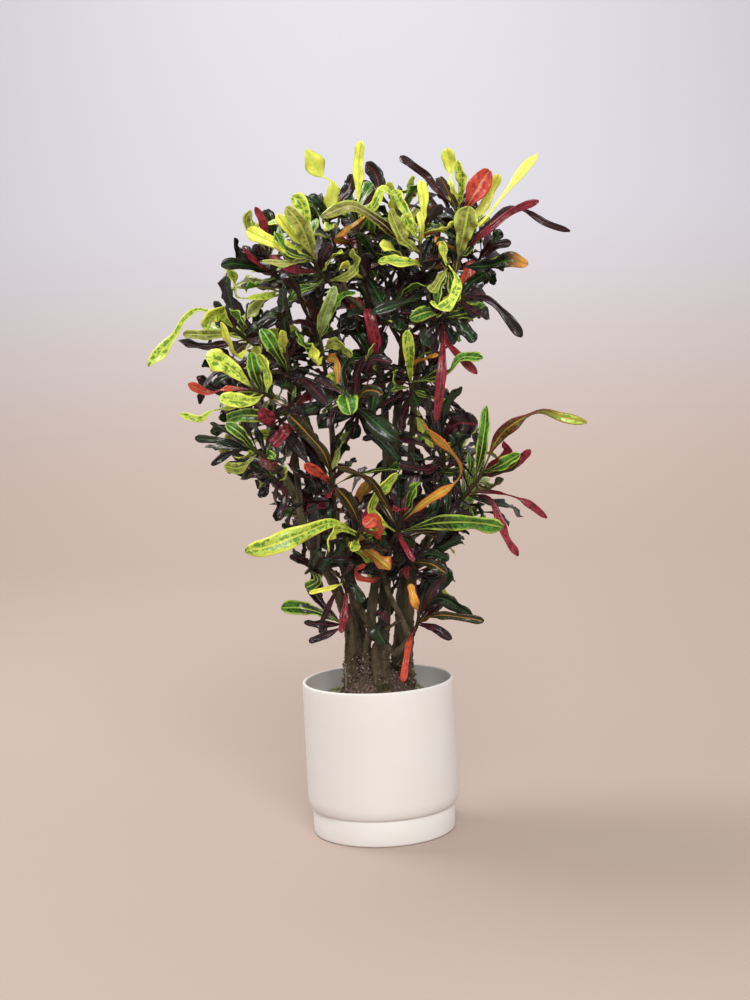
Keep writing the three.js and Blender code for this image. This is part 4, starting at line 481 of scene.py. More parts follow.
# The leaves that the photograph shows one by one. Each row: its shoot, its finish, its outline, its
# width, how far its tip comes toward the viewer, and the pixels along it from its root to its tip.
SEEN_LEAVES = [
    ["top_left_high", "yellow", "spoon", 24, 10,
        [[338, 208], [333, 186], [321, 175], [312, 160], [306, 150]]],
    ["centre", "yellow", "strap", 13, 14, [[358, 200], [359, 180], [359, 160], [362, 141]]],
    ["centre", "maroon", "strap", 15, -6, [[364, 208], [378, 190], [376, 174], [366, 163]]],
    ["top_left_high", "maroon", "strap", 13, -10, [[340, 202], [349, 188], [351, 174]]],
    ["tall_top", "maroon", "strap", 10, 6, [[450, 206], [437, 190], [426, 176], [412, 165], [400, 157]]],
    ["top_centre", "blush", "strap", 12, 60,
        [[412, 256], [398, 238], [383, 224], [364, 211], [348, 206], [321, 217]]],
    ["top_left", "olive", "strap", 19, 34, [[311, 264], [300, 224], [286, 207]]],
    ["top_left", "lime", "oval", 17, 18, [[306, 232], [303, 206], [292, 196]]],
    ["top_left_high", "dark", "strap", 11, 8, [[329, 214], [318, 202], [308, 197]]],
    ["centre", "orange", "strap", 13, 44, [[352, 244], [336, 238], [348, 227], [365, 216]]],
    ["top_left", "olive", "oval", 18, 40, [[332, 278], [348, 276], [357, 266], [354, 249]]],
    ["top_centre", "lime", "oval", 17, 44, [[424, 268], [415, 263], [403, 263], [378, 262]]],
    ["centre", "lime", "strap", 12, 20, [[364, 218], [374, 206], [382, 190], [392, 194]]],
    ["top_centre", "lime", "oval", 14, -4, [[416, 226], [404, 208], [393, 190]]],
    ["top_centre", "yellow", "strap", 11, 10, [[421, 226], [424, 206], [421, 180]]],
    ["top_centre", "olive", "strap", 19, 36, [[417, 252], [402, 238], [389, 209]]],
    ["top_centre", "yellow", "strap", 7, 20, [[422, 244], [422, 228], [419, 212]]],
    ["top_centre", "lime", "oval", 12, 26, [[418, 242], [412, 230], [403, 214]]],
    ["top_left", "crimson", "strap", 11, 24, [[313, 276], [290, 268], [270, 256]]],
    ["top_left", "maroon", "strap", 13, 34, [[318, 272], [323, 258], [331, 243]]],
    ["back_left_top", "crimson", "strap", 9, 20, [[272, 252], [264, 226], [255, 207]]],
    ["back_left_top", "dark", "oval", 13, 6, [[274, 258], [272, 230], [264, 210]]],
    ["top_left", "yellow", "strap", 15, 10, [[308, 262], [272, 242], [247, 230]]],
    ["back_left_top", "purple", "strap", 12, 30, [[270, 278], [250, 262], [238, 252], [234, 238]]],
    ["top_left", "green", "strap", 15, 34, [[312, 258], [296, 256], [283, 248], [274, 232]]],
    ["top_left", "yellow", "strap", 10, 46, [[306, 250], [290, 232], [277, 214]]],
    ["top_left", "lime", "oval", 12, 30, [[304, 240], [288, 222], [266, 224]]],
    ["back_left_top", "olive", "oval", 12, 34, [[266, 250], [256, 238], [246, 222], [250, 210]]],
    ["top_left", "blush", "strap", 10, 56, [[308, 262], [286, 264], [262, 262]]],
    ["back_left_top", "dark", "strap", 14, 16, [[268, 274], [238, 264], [221, 266]]],
    ["back_left_top", "lime", "spoon", 13, 50, [[268, 300], [240, 298], [233, 282], [226, 264]]],
    ["back_left_top", "crimson", "strap", 6, 36, [[268, 280], [256, 262], [243, 248]]],
    ["tall_top", "yellow", "spoon", 18, 2, [[457, 206], [451, 186], [451, 168], [447, 148]]],
    ["tall_top", "lime", "strap", 11, 16, [[458, 212], [462, 184], [458, 160]]],
    ["tall_top", "coral", "oval", 24, 26, [[460, 222], [470, 202], [480, 184], [489, 170]]],
    ["tall_top", "yellow", "strap", 12, 10, [[462, 226], [481, 210], [490, 192], [499, 174]]],
    ["tall_top", "yellow", "stalked", 12, -8, [[462, 238], [482, 222], [500, 200], [517, 178], [538, 154]]],
    ["tall_top", "maroon", "waisted", 11, 18,
        [[464, 250], [489, 226], [511, 209], [526, 211], [546, 223], [570, 231]]],
    ["tall_top", "crimson", "strap", 9, 0, [[464, 254], [486, 232], [508, 214], [524, 206], [539, 201]]],
    ["tall_top", "olive", "oval", 25, 40, [[463, 262], [463, 236], [469, 206]]],
    ["right_edge", "maroon", "strap", 12, 34, [[474, 262], [490, 248], [511, 242]]],
    ["right_edge", "dark", "strap", 12, 20, [[480, 256], [492, 244], [501, 230]]],
    ["tall_top", "tipped", "strap", 17, 44, [[459, 268], [487, 266], [508, 261], [528, 264]]],
    ["tall_top", "ember", "strap", 11, 30, [[458, 214], [450, 196], [440, 177]]],
    ["right_front", "lime", "strap", 14, 54, [[449, 263], [457, 280], [453, 298], [441, 309], [430, 302]]],
    ["right_front", "lime", "oval", 9, 20, [[448, 270], [444, 256], [443, 241]]],
    ["right_drop", "dark", "strap", 15, 20, [[460, 298], [472, 282], [486, 273]]],
    ["right_drop", "purple", "strap", 11, 26, [[466, 294], [489, 300], [507, 317], [522, 337]]],
    ["right_drop", "maroon", "oval", 20, 40, [[460, 298], [468, 308], [487, 320]]],
    ["right_hang", "dark", "strap", 15, 18, [[442, 316], [458, 324], [476, 341]]],
    ["right_hang", "crimson", "strap", 9, 36, [[442, 318], [446, 340], [459, 356], [477, 374]]],
    ["right_hang", "crimson", "strap", 10, 66, [[440, 316], [443, 330], [442, 368], [436, 422]]],
    ["tall", "green", "waisted", 17, 50, [[411, 382], [433, 378], [449, 372], [462, 358], [483, 358]]],
    ["tall", "lime", "strap", 12, 26, [[410, 386], [409, 352], [407, 330]]],
    ["tall", "green", "oval", 19, 44, [[410, 388], [394, 386], [394, 372]]],
    ["right_mid", "dark", "strap", 12, 30, [[440, 426], [446, 404], [461, 386]]],
    ["right_mid", "maroon", "oval", 24, 34, [[442, 440], [456, 424], [478, 424]]],
    ["right", "green", "strap", 13, 36, [[475, 483], [483, 442], [487, 406]]],
    ["right", "sunset", "waisted", 13, 30,
        [[484, 472], [497, 440], [513, 424], [540, 411], [562, 417], [587, 422]]],
    ["right", "crimson", "strap", 10, 50, [[484, 474], [496, 462], [508, 452], [504, 441]]],
    ["right", "ember", "strap", 10, 44, [[480, 478], [496, 471], [512, 467], [520, 458]]],
    ["right", "green", "oval", 13, 30, [[484, 474], [500, 466], [520, 454]]],
    ["right", "crimson", "spoon", 11, 12, [[480, 477], [509, 468], [531, 450]]],
    ["right", "ember", "strap", 15, 60, [[474, 484], [487, 490], [504, 480]]],
    ["right", "crimson", "spoon", 8, 20, [[466, 493], [492, 492], [522, 500], [547, 518]]],
    ["right", "crimson", "strap", 10, 34, [[466, 494], [490, 500], [505, 536], [518, 556]]],
    ["centre_front", "green", "strap", 19, 66,
        [[402, 534], [432, 524], [456, 522], [482, 523], [503, 527]]],
    ["front_low", "lime", "strap", 20, 60, [[358, 532], [332, 523], [301, 534], [270, 546], [245, 551]]],
    ["front_low", "lime", "oval", 14, 66, [[357, 536], [338, 529], [328, 538], [328, 552]]],
    ["front_low", "coral", "oval", 17, 70, [[362, 530], [382, 534], [376, 518], [364, 526]]],
    ["front_low", "ember", "strap", 14, 40, [[361, 526], [350, 504], [337, 488]]],
    ["centre_front", "ember", "strap", 9, 62, [[401, 526], [383, 499], [374, 484], [361, 474], [335, 466]]],
    ["centre_front", "orange", "spoon", 14, 74,
        [[403, 524], [425, 503], [456, 482], [461, 466], [449, 449], [423, 424]]],
    ["centre_front", "lime", "strap", 15, 24, [[394, 532], [372, 514], [376, 495], [397, 473]]],
    ["right_mid", "maroon", "strap", 13, 40, [[443, 462], [426, 470], [398, 464]]],
    ["front", "ember", "strap", 15, 30, [[331, 478], [325, 455], [308, 434], [288, 414]]],
    ["front", "coral", "strap", 11, 54, [[332, 486], [320, 474], [304, 464]]],
    ["left", "dark", "strap", 10, 6, [[250, 450], [220, 441], [195, 438]]],
    ["left", "dark", "strap", 6, -10, [[248, 448], [231, 434], [210, 423]]],
    ["left", "purple", "strap", 8, 20, [[248, 448], [228, 454], [211, 465]]],
    ["left", "olive", "oval", 14, 26, [[257, 455], [240, 468], [224, 466]]],
    ["left", "green", "strap", 12, 8, [[254, 451], [242, 435], [226, 424]]],
    ["left_inner", "crimson", "oval", 18, 16, [[276, 415], [272, 424], [262, 408]]],
    ["left_inner", "crimson", "oval", 16, 34, [[279, 420], [286, 430], [272, 446]]],
    ["left_low", "purple", "strap", 10, 18, [[268, 476], [266, 488], [260, 498]]],
    ["left_low", "maroon", "strap", 10, 16, [[276, 479], [286, 496], [279, 520]]],
    ["back_left", "lime", "stalked", 17, 36, [[230, 325], [203, 310], [186, 317], [173, 338], [149, 367]]],
    ["back_left", "lime", "oval", 22, 46, [[234, 328], [216, 312], [202, 327]]],
    ["back_left", "olive", "strap", 12, 24, [[238, 334], [210, 335], [183, 334]]],
    ["back_left", "maroon", "strap", 11, 12, [[246, 339], [207, 347], [178, 341]]],
    ["back_left", "yellow", "strap", 11, 60, [[252, 344], [238, 357], [228, 342], [221, 322]]],
    ["back_left", "green", "oval", 18, 26, [[240, 335], [244, 320], [230, 308]]],
    ["left_side", "lime", "oval", 24, 22, [[254, 390], [228, 366], [206, 358]]],
    ["left_side", "green", "strap", 15, 34, [[262, 393], [254, 372], [250, 352]]],
    ["left_side", "lime", "strap", 14, 10, [[266, 394], [268, 374], [258, 354]]],
    ["left_mid", "green", "strap", 15, 40, [[288, 372], [278, 355], [267, 337], [261, 329]]],
    ["left_mid", "yellow", "oval", 11, 24, [[285, 352], [283, 340], [282, 330]]],
    ["left_side", "coral", "spoon", 10, -4, [[254, 390], [226, 389], [209, 393], [188, 384]]],
    ["left_side", "lime", "strap", 16, 26, [[264, 394], [250, 401], [219, 399]]],
    ["left_side", "lime", "spoon", 10, 8, [[258, 394], [234, 406], [212, 411], [200, 419], [180, 414]]],
    ["left_side", "dark", "strap", 8, -20, [[252, 389], [232, 376], [213, 384]]],
    ["left_rise", "silver", "strap", 14, 62, [[320, 340], [322, 324], [328, 304], [335, 286]]],
    ["left_rise", "green", "strap", 12, 36, [[320, 342], [306, 348], [295, 331]]],
    ["left_rise", "yellow", "oval", 17, 56, [[323, 356], [314, 362], [312, 343]]],
    ["left_rise", "olive", "strap", 14, 44, [[322, 352], [336, 343], [353, 355]]],
    ["left_rise", "orange", "strap", 12, 58, [[324, 360], [336, 360], [338, 384]]],
    ["centre_left", "dark", "strap", 17, 10, [[347, 398], [342, 372], [352, 352]]],
    ["centre_left", "green", "oval", 22, 62, [[343, 386], [347, 400], [351, 415]]],
    ["centre_mid", "olive", "oval", 14, 34, [[377, 372], [368, 358], [373, 344]]],
    ["centre_mid", "maroon", "strap", 11, 46, [[377, 370], [368, 374], [372, 360], [392, 362]]],
    ["left_mid", "maroon", "strap", 15, 60, [[290, 380], [306, 382], [328, 404]]],
    ["centre_front", "crimson", "strap", 7, 60, [[400, 530], [404, 546], [414, 562]]],
    ["right_face", "ember", "strap", 12, 40, [[412, 562], [431, 564], [447, 574]]],
    ["right_face", "crimson", "strap", 8, 24, [[412, 566], [405, 571], [408, 579]]],
    ["right_face", "dark", "strap", 13, 26, [[412, 560], [430, 554], [449, 560]]],
    ["right_low", "maroon", "strap", 12, 30, [[418, 616], [431, 594], [446, 575]]],
    ["right_low", "dark", "strap", 16, 20, [[418, 616], [440, 598], [473, 616]]],
    ["right_low", "ember", "strap", 10, 44, [[418, 618], [442, 615], [467, 618], [484, 621]]],
    ["right_low", "maroon", "strap", 10, 24, [[417, 622], [432, 627], [452, 639]]],
    ["right_low", "orange", "strap", 10, 20, [[417, 612], [414, 600], [410, 584]]],
    ["right_low", "coral", "strap", 8, 8, [[416, 626], [410, 640], [406, 660], [403, 682]]],
    ["stub_side", "coral", "strap", 8, 40, [[384, 572], [374, 580], [359, 578], [355, 570], [366, 564]]],
    ["front_side", "yellow", "strap", 6, 18, [[345, 582], [333, 587], [309, 593]]],
    ["front_side", "dark", "oval", 13, 10, [[345, 580], [354, 587], [362, 603]]],
    ["stub_low", "dark", "oval", 22, 10, [[391, 624], [382, 622], [379, 632], [386, 644]]],
    ["stub_low", "maroon", "strap", 13, 6, [[390, 626], [384, 615], [376, 612]]],
    ["front_side", "crimson", "strap", 9, 20, [[345, 586], [346, 600], [341, 633]]],
    ["front_side", "maroon", "strap", 7, 8, [[343, 580], [333, 597], [320, 627]]],
    ["left_foot", "green", "strap", 16, 22, [[343, 624], [320, 613], [301, 608], [281, 608]]],
    ["left_foot", "maroon", "strap", 9, 30, [[343, 625], [324, 624], [304, 622]]],
    ["left_foot", "maroon", "strap", 9, 10, [[344, 626], [328, 634], [309, 642]]],
    ["left_knee", "green", "oval", 13, 10, [[309, 570], [318, 580], [306, 588]]],
    ["left_knee", "maroon", "strap", 10, 22, [[310, 569], [302, 560], [290, 555]]],
    ["front_side", "maroon", "strap", 8, 34, [[342, 578], [352, 560], [322, 557]]],
]

# The crown's edge in the photograph, which the leaves that fill it stay inside, and the open gaps in
# it, as a pixel and a radius.
CROWN_EDGE = [
    [235, 235], [255, 208], [290, 192], [322, 190], [348, 174], [381, 170], [399, 186], [421, 166],
    [457, 172], [484, 200], [503, 235], [512, 264], [490, 292], [484, 322], [470, 340], [448, 350],
    [443, 366], [448, 392], [470, 415], [484, 430], [512, 444], [524, 466], [519, 494], [532, 514],
    [508, 534], [468, 538], [452, 559], [456, 581], [452, 604], [452, 637], [413, 644], [341, 642],
    [310, 637], [302, 613], [304, 584], [292, 556], [275, 515], [259, 497], [228, 476], [200, 452],
    [212, 421], [193, 394], [200, 348], [200, 312], [222, 275], [226, 250],
]
CROWN_GAPS = [[397, 354, 12], [371, 456, 12], [347, 488, 6], [330, 437, 6], [352, 344, 7], [428, 546, 5]]
CROWN_FRONT, CROWN_BACK = 185, -215  # how far the crown reaches toward the viewer and away
BARE_FROM = 585  # below this pixel row the stems show, and the leaves that fill the crown are behind

# ---- Numbers and lines -----------------------------------------------------------------------------


def draws(seed, count):
    """A repeatable list of numbers between 0 and 1."""
    factor, increment, span = 1664525, 1013904223, 2**32
    state = seed
    drawn = []
    for _ in range(count + SKIPPED_DRAWS):
        state = (state * factor + increment) % span
        drawn.append(state / span)
    return drawn[SKIPPED_DRAWS:]


def between(low, high, share):
    return low + (high - low) * share


def rise(t, start, end):
    """0 before start, 1 after end, and a smooth step from one to the other."""
    x = np.clip((t - start) / (end - start), 0, 1)
    return x * x * (3 - 2 * x)


def dot(a, b):
    return np.sum(a * b, axis=-1, keepdims=True)


def unit(vectors):
    return vectors / np.sqrt(dot(vectors, vectors))


def turned(vectors, axes, angles):
    """The vectors turned about unit axes."""
    cosine, sine = np.cos(angles)[..., None], np.sin(angles)[..., None]
    return vectors * cosine + np.cross(axes, vectors) * sine + axes * dot(axes, vectors) * (1 - cosine)


def from_photo(pixels):
    """The points seen at pixels (u, v), each at `front` millimetres toward the viewer."""
    u, v, front = np.moveaxis(np.asarray(pixels, float), -1, 0)
    ray = (
        SIGHT
        + PICTURE_RIGHT * ((u - VIEW_CENTRE[0]) / VIEW_FOCAL)[..., None]
        + PICTURE_UP * ((VIEW_CENTRE[1] - v) / VIEW_FOCAL)[..., None]
    )
    return CAMERA_AT + ray * ((VIEW_DISTANCE - front) / ray[..., 1])[..., None]


def to_photo(points):
    """The pixels where the points are seen."""
    away = points - CAMERA_AT
    depth = away @ SIGHT
    u = VIEW_CENTRE[0] + VIEW_FOCAL * (away @ PICTURE_RIGHT) / depth
    v = VIEW_CENTRE[1] - VIEW_FOCAL * (away @ PICTURE_UP) / depth
    return u, v


def length_of(line):
    return float(np.linalg.norm(np.diff(line, axis=0), axis=1).sum())


def even_line(points, steps):
    """A smooth line through the points, as equal steps along it."""
    points = np.asarray(points)
    last = len(points) - 1
    at = np.linspace(0, last, CURVE_STEPS * len(points) + 1)
    i = np.minimum(at.astype(int), last - 1)
    x = (at - i)[:, None]
    run = np.vstack([2 * points[0] - points[1], points, 2 * points[-1] - points[-2]])
    before, start, end, after = (run[i + k] for k in range(4))
    leaving, arriving = (end - before) / 2, (after - start) / 2
    fine = (
        start
        + leaving * x
        + (3 * (end - start) - 2 * leaving - arriving) * x**2
        + (2 * (start - end) + leaving + arriving) * x**3
    )
    reach = np.append(0, np.cumsum(np.linalg.norm(np.diff(fine, axis=0), axis=1)))
    wanted = reach[-1] * np.arange(steps + 1) / steps
    return np.stack([np.interp(wanted, reach, fine[:, k]) for k in range(3)], axis=1)


def headings(line):
    """The unit direction of a line at each of its points."""
    ahead = np.concatenate([line[..., 1:, :], line[..., -1:, :]], axis=-2)
    behind = np.concatenate([line[..., :1, :], line[..., :-1, :]], axis=-2)
    return unit(ahead - behind)


# ---- Leaves ----------------------------------------------------------------------------------------


def strap(t):
    """How wide a strap is along it: its sides run nearly level to a blunt tip."""
    return rise(t, 0.04, 0.36) * (0.8 + 0.2 * rise(t, 0.3, 0.75)) * round_tip(t, 0.8)


def oval(t):
    """An oval widens to a round end."""
    return (0.3 * rise(t, 0.05, 0.2) + 0.7 * rise(t, 0.2, 0.7)) * round_tip(t, 0.72)


def spoon(t):
    """A spoon narrows to its midrib halfway and opens again."""
    near = 0.72 * rise(t, 0.06, 0.2) * (1 - rise(t, 0.36, 0.5))
    return np.where(t < 0.5, near, rise(t, 0.56, 0.76) * round_tip(t, 0.8))


def waisted(t):
    """A waisted leaf narrows past its middle and opens less."""
    waist = 0.8 * rise(t, 0.44, 0.58) - 0.5 * rise(t, 0.6, 0.76)
    return rise(t, 0.05, 0.28) * (1 - waist) * round_tip(t, 0.84)


def stalked(t):
    """A stalked leaf stays narrow up to its end, and opens there."""
    return (0.34 * rise(t, 0.04, 0.2) + 0.66 * rise(t, 0.64, 0.8)) * round_tip(t, 0.86)


def round_tip(t, start):
    """1 up to start, then rounding in to a narrow end."""
    return np.sqrt(1 - 0.93 * np.maximum(0, (t - start) / (1 - start)) ** 3)


OUTLINES = {"strap": strap, "oval": oval, "spoon": spoon, "waisted": waisted, "stalked": stalked}


class Blades:
    """Several tries at one leaf, each worked out step by step along its line.

    A try has for each step its point, the way across it, its face's normal, its half width, and how
    far its left and right edges lift. Its margin waves, and it twists.
    """

    def __init__(self, line, across, outlines, half_width, turn, twist, fold, waves, wave_depth, phase):
        t = np.arange(LEAF_STEPS + 1) / LEAF_STEPS
        heading = headings(line)
        side, sides = across, []
        for i in range(LEAF_STEPS + 1):
            side = unit(side - heading[:, i] * dot(side, heading[:, i]))
            sides.append(side)
        angles = turn[:, None] + twist[:, None] * (t - 0.5)
        shape = np.stack([OUTLINES[name](t) for name in outlines])
        ripple = 1 + WIDTH_RIPPLE * np.sin(0.6 * FULL_TURN * waves[:, None] * t + 1.7 * phase[:, None])
        self.point = line
        self.phase = phase
        self.heading = heading
        self.across = turned(np.stack(sides, axis=1), heading, angles)
        self.normal = np.cross(heading, self.across)
        self.half = np.maximum(PETIOLE_HALF_WIDTH * (1 - 0.3 * t), half_width[:, None] * shape * ripple)
        swing = wave_depth[:, None] * self.half * rise(t, 0.1, 0.3)

        def wave(shift):
            return swing * np.sin(FULL_TURN * waves[:, None] * t + phase[:, None] + shift)

        self.left = fold[:, None] * self.half + wave(0)
        self.right = fold[:, None] * self.half + wave(WAVE_LAG)

    def body(self, k):
        """The balls that fill try k: their places, radii, and which may stand close to their shoot."""
        at, radii, roots = [], [], []
        for i in range(2, LEAF_STEPS + 1, 2):
            half, point = self.half[k, i], self.point[k, i]
            root = i < ROOT_ZONE * LEAF_STEPS
            if half < NARROW:
                at.append(point)
                radii.append(half + LEAF_SKIN)
                roots.append(root)
                continue
            for side, lift in ((-1, self.left[k, i]), (0, 0), (1, self.right[k, i])):
                outward = self.across[k, i] * (SIDE_BALL * half * side)
                at.append(point + outward + self.normal[k, i] * (SIDE_BALL * lift))
                radii.append((1 - SIDE_BALL) * half + LEAF_SKIN)
                roots.append(root)
        return np.array(at), np.array(radii), np.array(roots)


class Room:
    """The room that is taken. A body is a string of balls that fills a leaf or a stem."""

    def __init__(self):
        self.bodies = []
        self.centres = np.empty((0, 3))
        self.reaches = np.empty(0)

    def take(self, at, radii, roots, shoot):
        centre = at.mean(axis=0)
        reach = (np.linalg.norm(at - centre, axis=1) + radii).max()
        self.bodies.append((at, radii, roots, shoot))
        self.centres = np.vstack([self.centres, centre])
        self.reaches = np.append(self.reaches, reach)

    def clears(self, at, radii, roots, shoot, gap=LEAF_GAP):
        """Whether no ball comes near another body's. Roots may stand close to their own shoot's."""
        centre = at.mean(axis=0)
        reach = (np.linalg.norm(at - centre, axis=1) + radii).max()
        apart = np.linalg.norm(self.centres - centre, axis=1) - self.reaches - reach
        for k in np.flatnonzero(apart <= gap):
            others, other_radii, other_roots, other_shoot = self.bodies[k]
            free = np.linalg.norm(at[:, None] - others[None], axis=2) - radii[:, None] - other_radii
            close = free <= gap
            if other_shoot == shoot:
                close &= ~(roots[:, None] & other_roots)
            if close.any():
                return False
        return True


class Spots:
    """The discs of the picture that seen leaves and bare wood cover, which filling leaves stay behind."""

    def __init__(self, leaves, wood):
        wood_at, wood_radii = (np.concatenate([body[k] for body in wood]) for k in (0, 1))
        bare = to_photo(wood_at)[1] > BARE_FROM
        at = np.vstack([leaf["body"][0] for leaf in leaves] + [wood_at[bare]])
        radii = np.concatenate([leaf["body"][1] for leaf in leaves] + [wood_radii[bare]])
        self.u, self.v = to_photo(at)
        self.front = -at[:, 1]
        self.radii = radii * VIEW_FOCAL / VIEW_DISTANCE

    def leave_free(self, at, radii):
        u, v = to_photo(at)
        front = -at[:, 1]
        if front.max() > CROWN_FRONT or front.min() < CROWN_BACK or not inside(u, v, CROWN_EDGE).all():
            return False
        for gap_u, gap_v, gap_radius in CROWN_GAPS:
            if (np.hypot(u - gap_u, v - gap_v) < gap_radius).any():
                return False
        spread = radii * VIEW_FOCAL / VIEW_DISTANCE
        margin = spread.max() + self.radii.max()
        near = (self.u > u.min() - margin) & (self.u < u.max() + margin) & (self.front < front.max())
        near &= (self.v > v.min() - margin) & (self.v < v.max() + margin)
        away = np.hypot(u[:, None] - self.u[near], v[:, None] - self.v[near])
        hides = (front[:, None] > self.front[near]) & (away < spread[:, None] + self.radii[near])
        return not hides.any()


def inside(u, v, outline):
    """Whether each pixel lies inside the outline."""
    start = np.asarray(outline, float)
    end = np.roll(start, -1, axis=0)
    u, v = u[:, None], v[:, None]
    spans = (start[:, 1] > v) != (end[:, 1] > v)
    drop = np.where(end[:, 1] == start[:, 1], 1, end[:, 1] - start[:, 1])
    crossing = start[:, 0] + (end[:, 0] - start[:, 0]) * (v - start[:, 1]) / drop
    return (spans & (u < crossing)).sum(axis=1) % 2 == 1


# ---- Growing the plant -----------------------------------------------------------------------------


def grow_stem(row):
    """A stem's line and radii, and the line of its leafy shoot, which carries on from its wood."""
    name, parent, path, start_radius, end_radius, leafy = row
    points = from_photo(path)
    if not parent:
        foot = points[0]
        points = np.vstack([[foot[0], foot[1], SOIL_LEVEL - PLANTED_DEPTH], points])
    steps = max(LEAST_STEM_STEPS, js_round(length_of(points) / STEM_STEP))
    line = even_line(points, steps)
    wood_steps = steps - js_round(steps * leafy / length_of(line))
    radii = between(start_radius, end_radius, np.minimum(1, np.arange(steps + 1) / wood_steps))
    stem = {"name": name, "parent": parent, "leafy": leafy}
    stem["line"], stem["radii"] = line[: wood_steps + 1], radii[: wood_steps + 1]
    if leafy:
        bends = even_line(line[wood_steps:], 3 if leafy > LONG_SHOOT else 2)
        bends[0] = bends[0] + headings(line)[wood_steps] * JOIN_GAP
        stem["shoot_line"] = bends
        stem["shoot_radius"] = end_radius * SHOOT_TAPER
    return stem


def js_round(number):
    """Rounds halves up."""
    return math.floor(number + 0.5)


def place_on(stem, share):
    """The point on a shoot's middle line at a share of its length, and its heading there."""
    line = stem["shoot_line"]
    at = share * (len(line) - 1)
    i = min(len(line) - 2, math.floor(at))
    return line[i] + (line[i + 1] - line[i]) * (at - i), unit(line[i + 1] - line[i])


def root_of(stems, stem):
    return root_of(stems, stems[stem["parent"]]) if stem["parent"] else stem


def shape_drawn(ranges, drawn):
    """A leaf's shape: one value drawn from each of the ranges."""
    return {key: between(*ranges[i], drawn[i]) for i, key in enumerate(SHAPE_KEYS)}


def seen_leaf(stem, row, index, room):
    """A leaf that the photograph shows, along its own pixels, at the first depth where it is clear."""
    shoot, finish, outline, width, reach, pixels = row
    shares = np.arange(ROOT_PLACES + 1) / ROOT_PLACES
    places = [place_on(stem, between(*ROOT_SHARES, share)) for share in shares]
    u, v = to_photo(np.array([point for point, _ in places]))
    point, heading = places[int(np.argmin(np.hypot(u - pixels[0][0], v - pixels[0][1])))]
    drawn = draws(SEEN_SEED + index * SEEN_SEED_STEP, len(SHAPE_KEYS) + len(pixels) - 1)
    shape, curls = drawn[: len(SHAPE_KEYS)], between(*SEEN_CURL, np.array(drawn[len(SHAPE_KEYS) :]))
    share = np.arange(1, len(pixels)) / (len(pixels) - 1)
    lines, across = [], []
    for shift in DEPTH_SHIFTS:
        front = -point[1] + curls + (reach + shift) * np.sin(share * math.pi / 2)
        points = from_photo(np.column_stack([np.array(pixels[1:], float), front]))
        outward = points[0] - point
        outward = unit(outward - heading * dot(outward, heading))
        root = point + outward * stem["shoot_radius"] * ROOT_OFFSET
        lines.append(even_line(np.vstack([root, points]), LEAF_STEPS))
        across.append(unit(np.cross([0, -1, 0.25], headings(lines[-1])[8])))
    tries = len(DEPTH_SHIFTS)
    blades = Blades(
        np.array(lines),
        np.array(across),
        outlines=[outline] * tries,
        half_width=np.full(tries, width / 2),
        **shape_drawn(SEEN_SHAPE, np.repeat([shape], tries, axis=0).T),
    )
    for k in range(tries):
        body = blades.body(k)
        if room.clears(*body, shoot):
            return leaf_found(blades, k, body, shoot, finish, seen=True)
    return None


def leaf_found(blades, k, body, shoot, finish, seen=False):
    """Try k of the blades, which found its place."""
    return {"blades": blades, "try": k, "body": body, "shoot": shoot, "finish": finish, "seen": seen}


def finish_at(point, share, pick):
    """A filling leaf's finish, from where it stands in the crown: bright finishes come more often toward the
    top, partly as young growth and partly as painted light, and toward the left and the viewer as painted
    light. Dark ones stay toward the back as painted shade.
    """
    u, v = to_photo(point)
    bright = LEAST_BRIGHT
    # Paler finishes toward the top are partly young growth and partly painted light. Toward the left and the
    # viewer they are painted light, and the back is left darker as painted shade.
    for value, (gain, *stretch) in ((v, BRIGHTER_UP), (u, PAINTED_LIGHT_LEFT), (-point[1], PAINTED_LIGHT_NEAR)):
        bright += gain * rise(value, *stretch)
    finishes = DARK_FINISHES
    if share < bright:
        finishes = BRIGHT_FINISHES
    elif share < bright + ACCENT_SHARE:
        finishes = ACCENT_FINISHES
    return drawn_from(finishes, pick)


def drawn_from(shares, drawn):
    """The entry of a list of shares that a drawn number falls to."""
    return next(entry for entry, up_to in shares if drawn < up_to)


def filling_tries(stem, stem_index, index, count, scale=1.0, spread=1.0, salt=0):
    """The tries at one of the leaves that fill a shoot, by the golden angle up it."""
    share = (index + 0.5) / count
    point, heading = place_on(stem, share)
    first = unit(np.cross([0.3, 1, 0.1], heading))
    attempt = np.arange(TRIES)
    seed = FILLING_SEED + STEM_SEED_STEP * stem_index + LEAF_SEED_STEP * index + salt
    r = np.array([draws(seed + ATTEMPT_SEED_STEP * k, 16) for k in range(TRIES)]).T
    axis = np.tile(heading, (TRIES, 1))
    azimuth = index * GOLDEN_ANGLE + stem_index + between(-1, 1, r[0]) * AZIMUTH_STRAY * (1 + attempt)
    radial = turned(np.tile(first, (TRIES, 1)), axis, azimuth)
    pitch = between(*PITCH, share**PITCH_POWER) * spread + between(*PITCH_STRAY, r[1])
    across = np.cross(axis, radial)
    direction = turned(axis, across, pitch)
    size = between(*SIZE_BY_TRY, attempt / TRIES) * between(*SIZE_BY_PLACE, share) * scale
    outlines = [drawn_from(FILLING_OUTLINES, x) for x in r[2]]
    is_oval = np.array([name == "oval" for name in outlines])
    length = LEAF_LENGTH * size * between(*LENGTH_STRAY, r[3]) * np.where(is_oval, OVAL_SHORTER, 1)
    wider = between(*WIDTH_STRAY, r[4]) * np.where(is_oval, OVAL_WIDER, 1)
    half_width = LEAF_HALF_WIDTH * wider * (0.5 + 0.5 * size)
    bend = between(*BEND, r[5]) * (0.5 + 0.6 * np.hypot(direction[:, 0], direction[:, 1]))
    start = point + radial * stem["shoot_radius"] * ROOT_OFFSET
    blades = Blades(
        arcs(start, direction, across, length, bend, between(*SWAY, r[6]), between(*CURL, r[7])),
        across,
        outlines=outlines,
        half_width=half_width,
        **shape_drawn(FILLING_SHAPE, r[8:14]),
    )
    return blades, r[14], r[15]


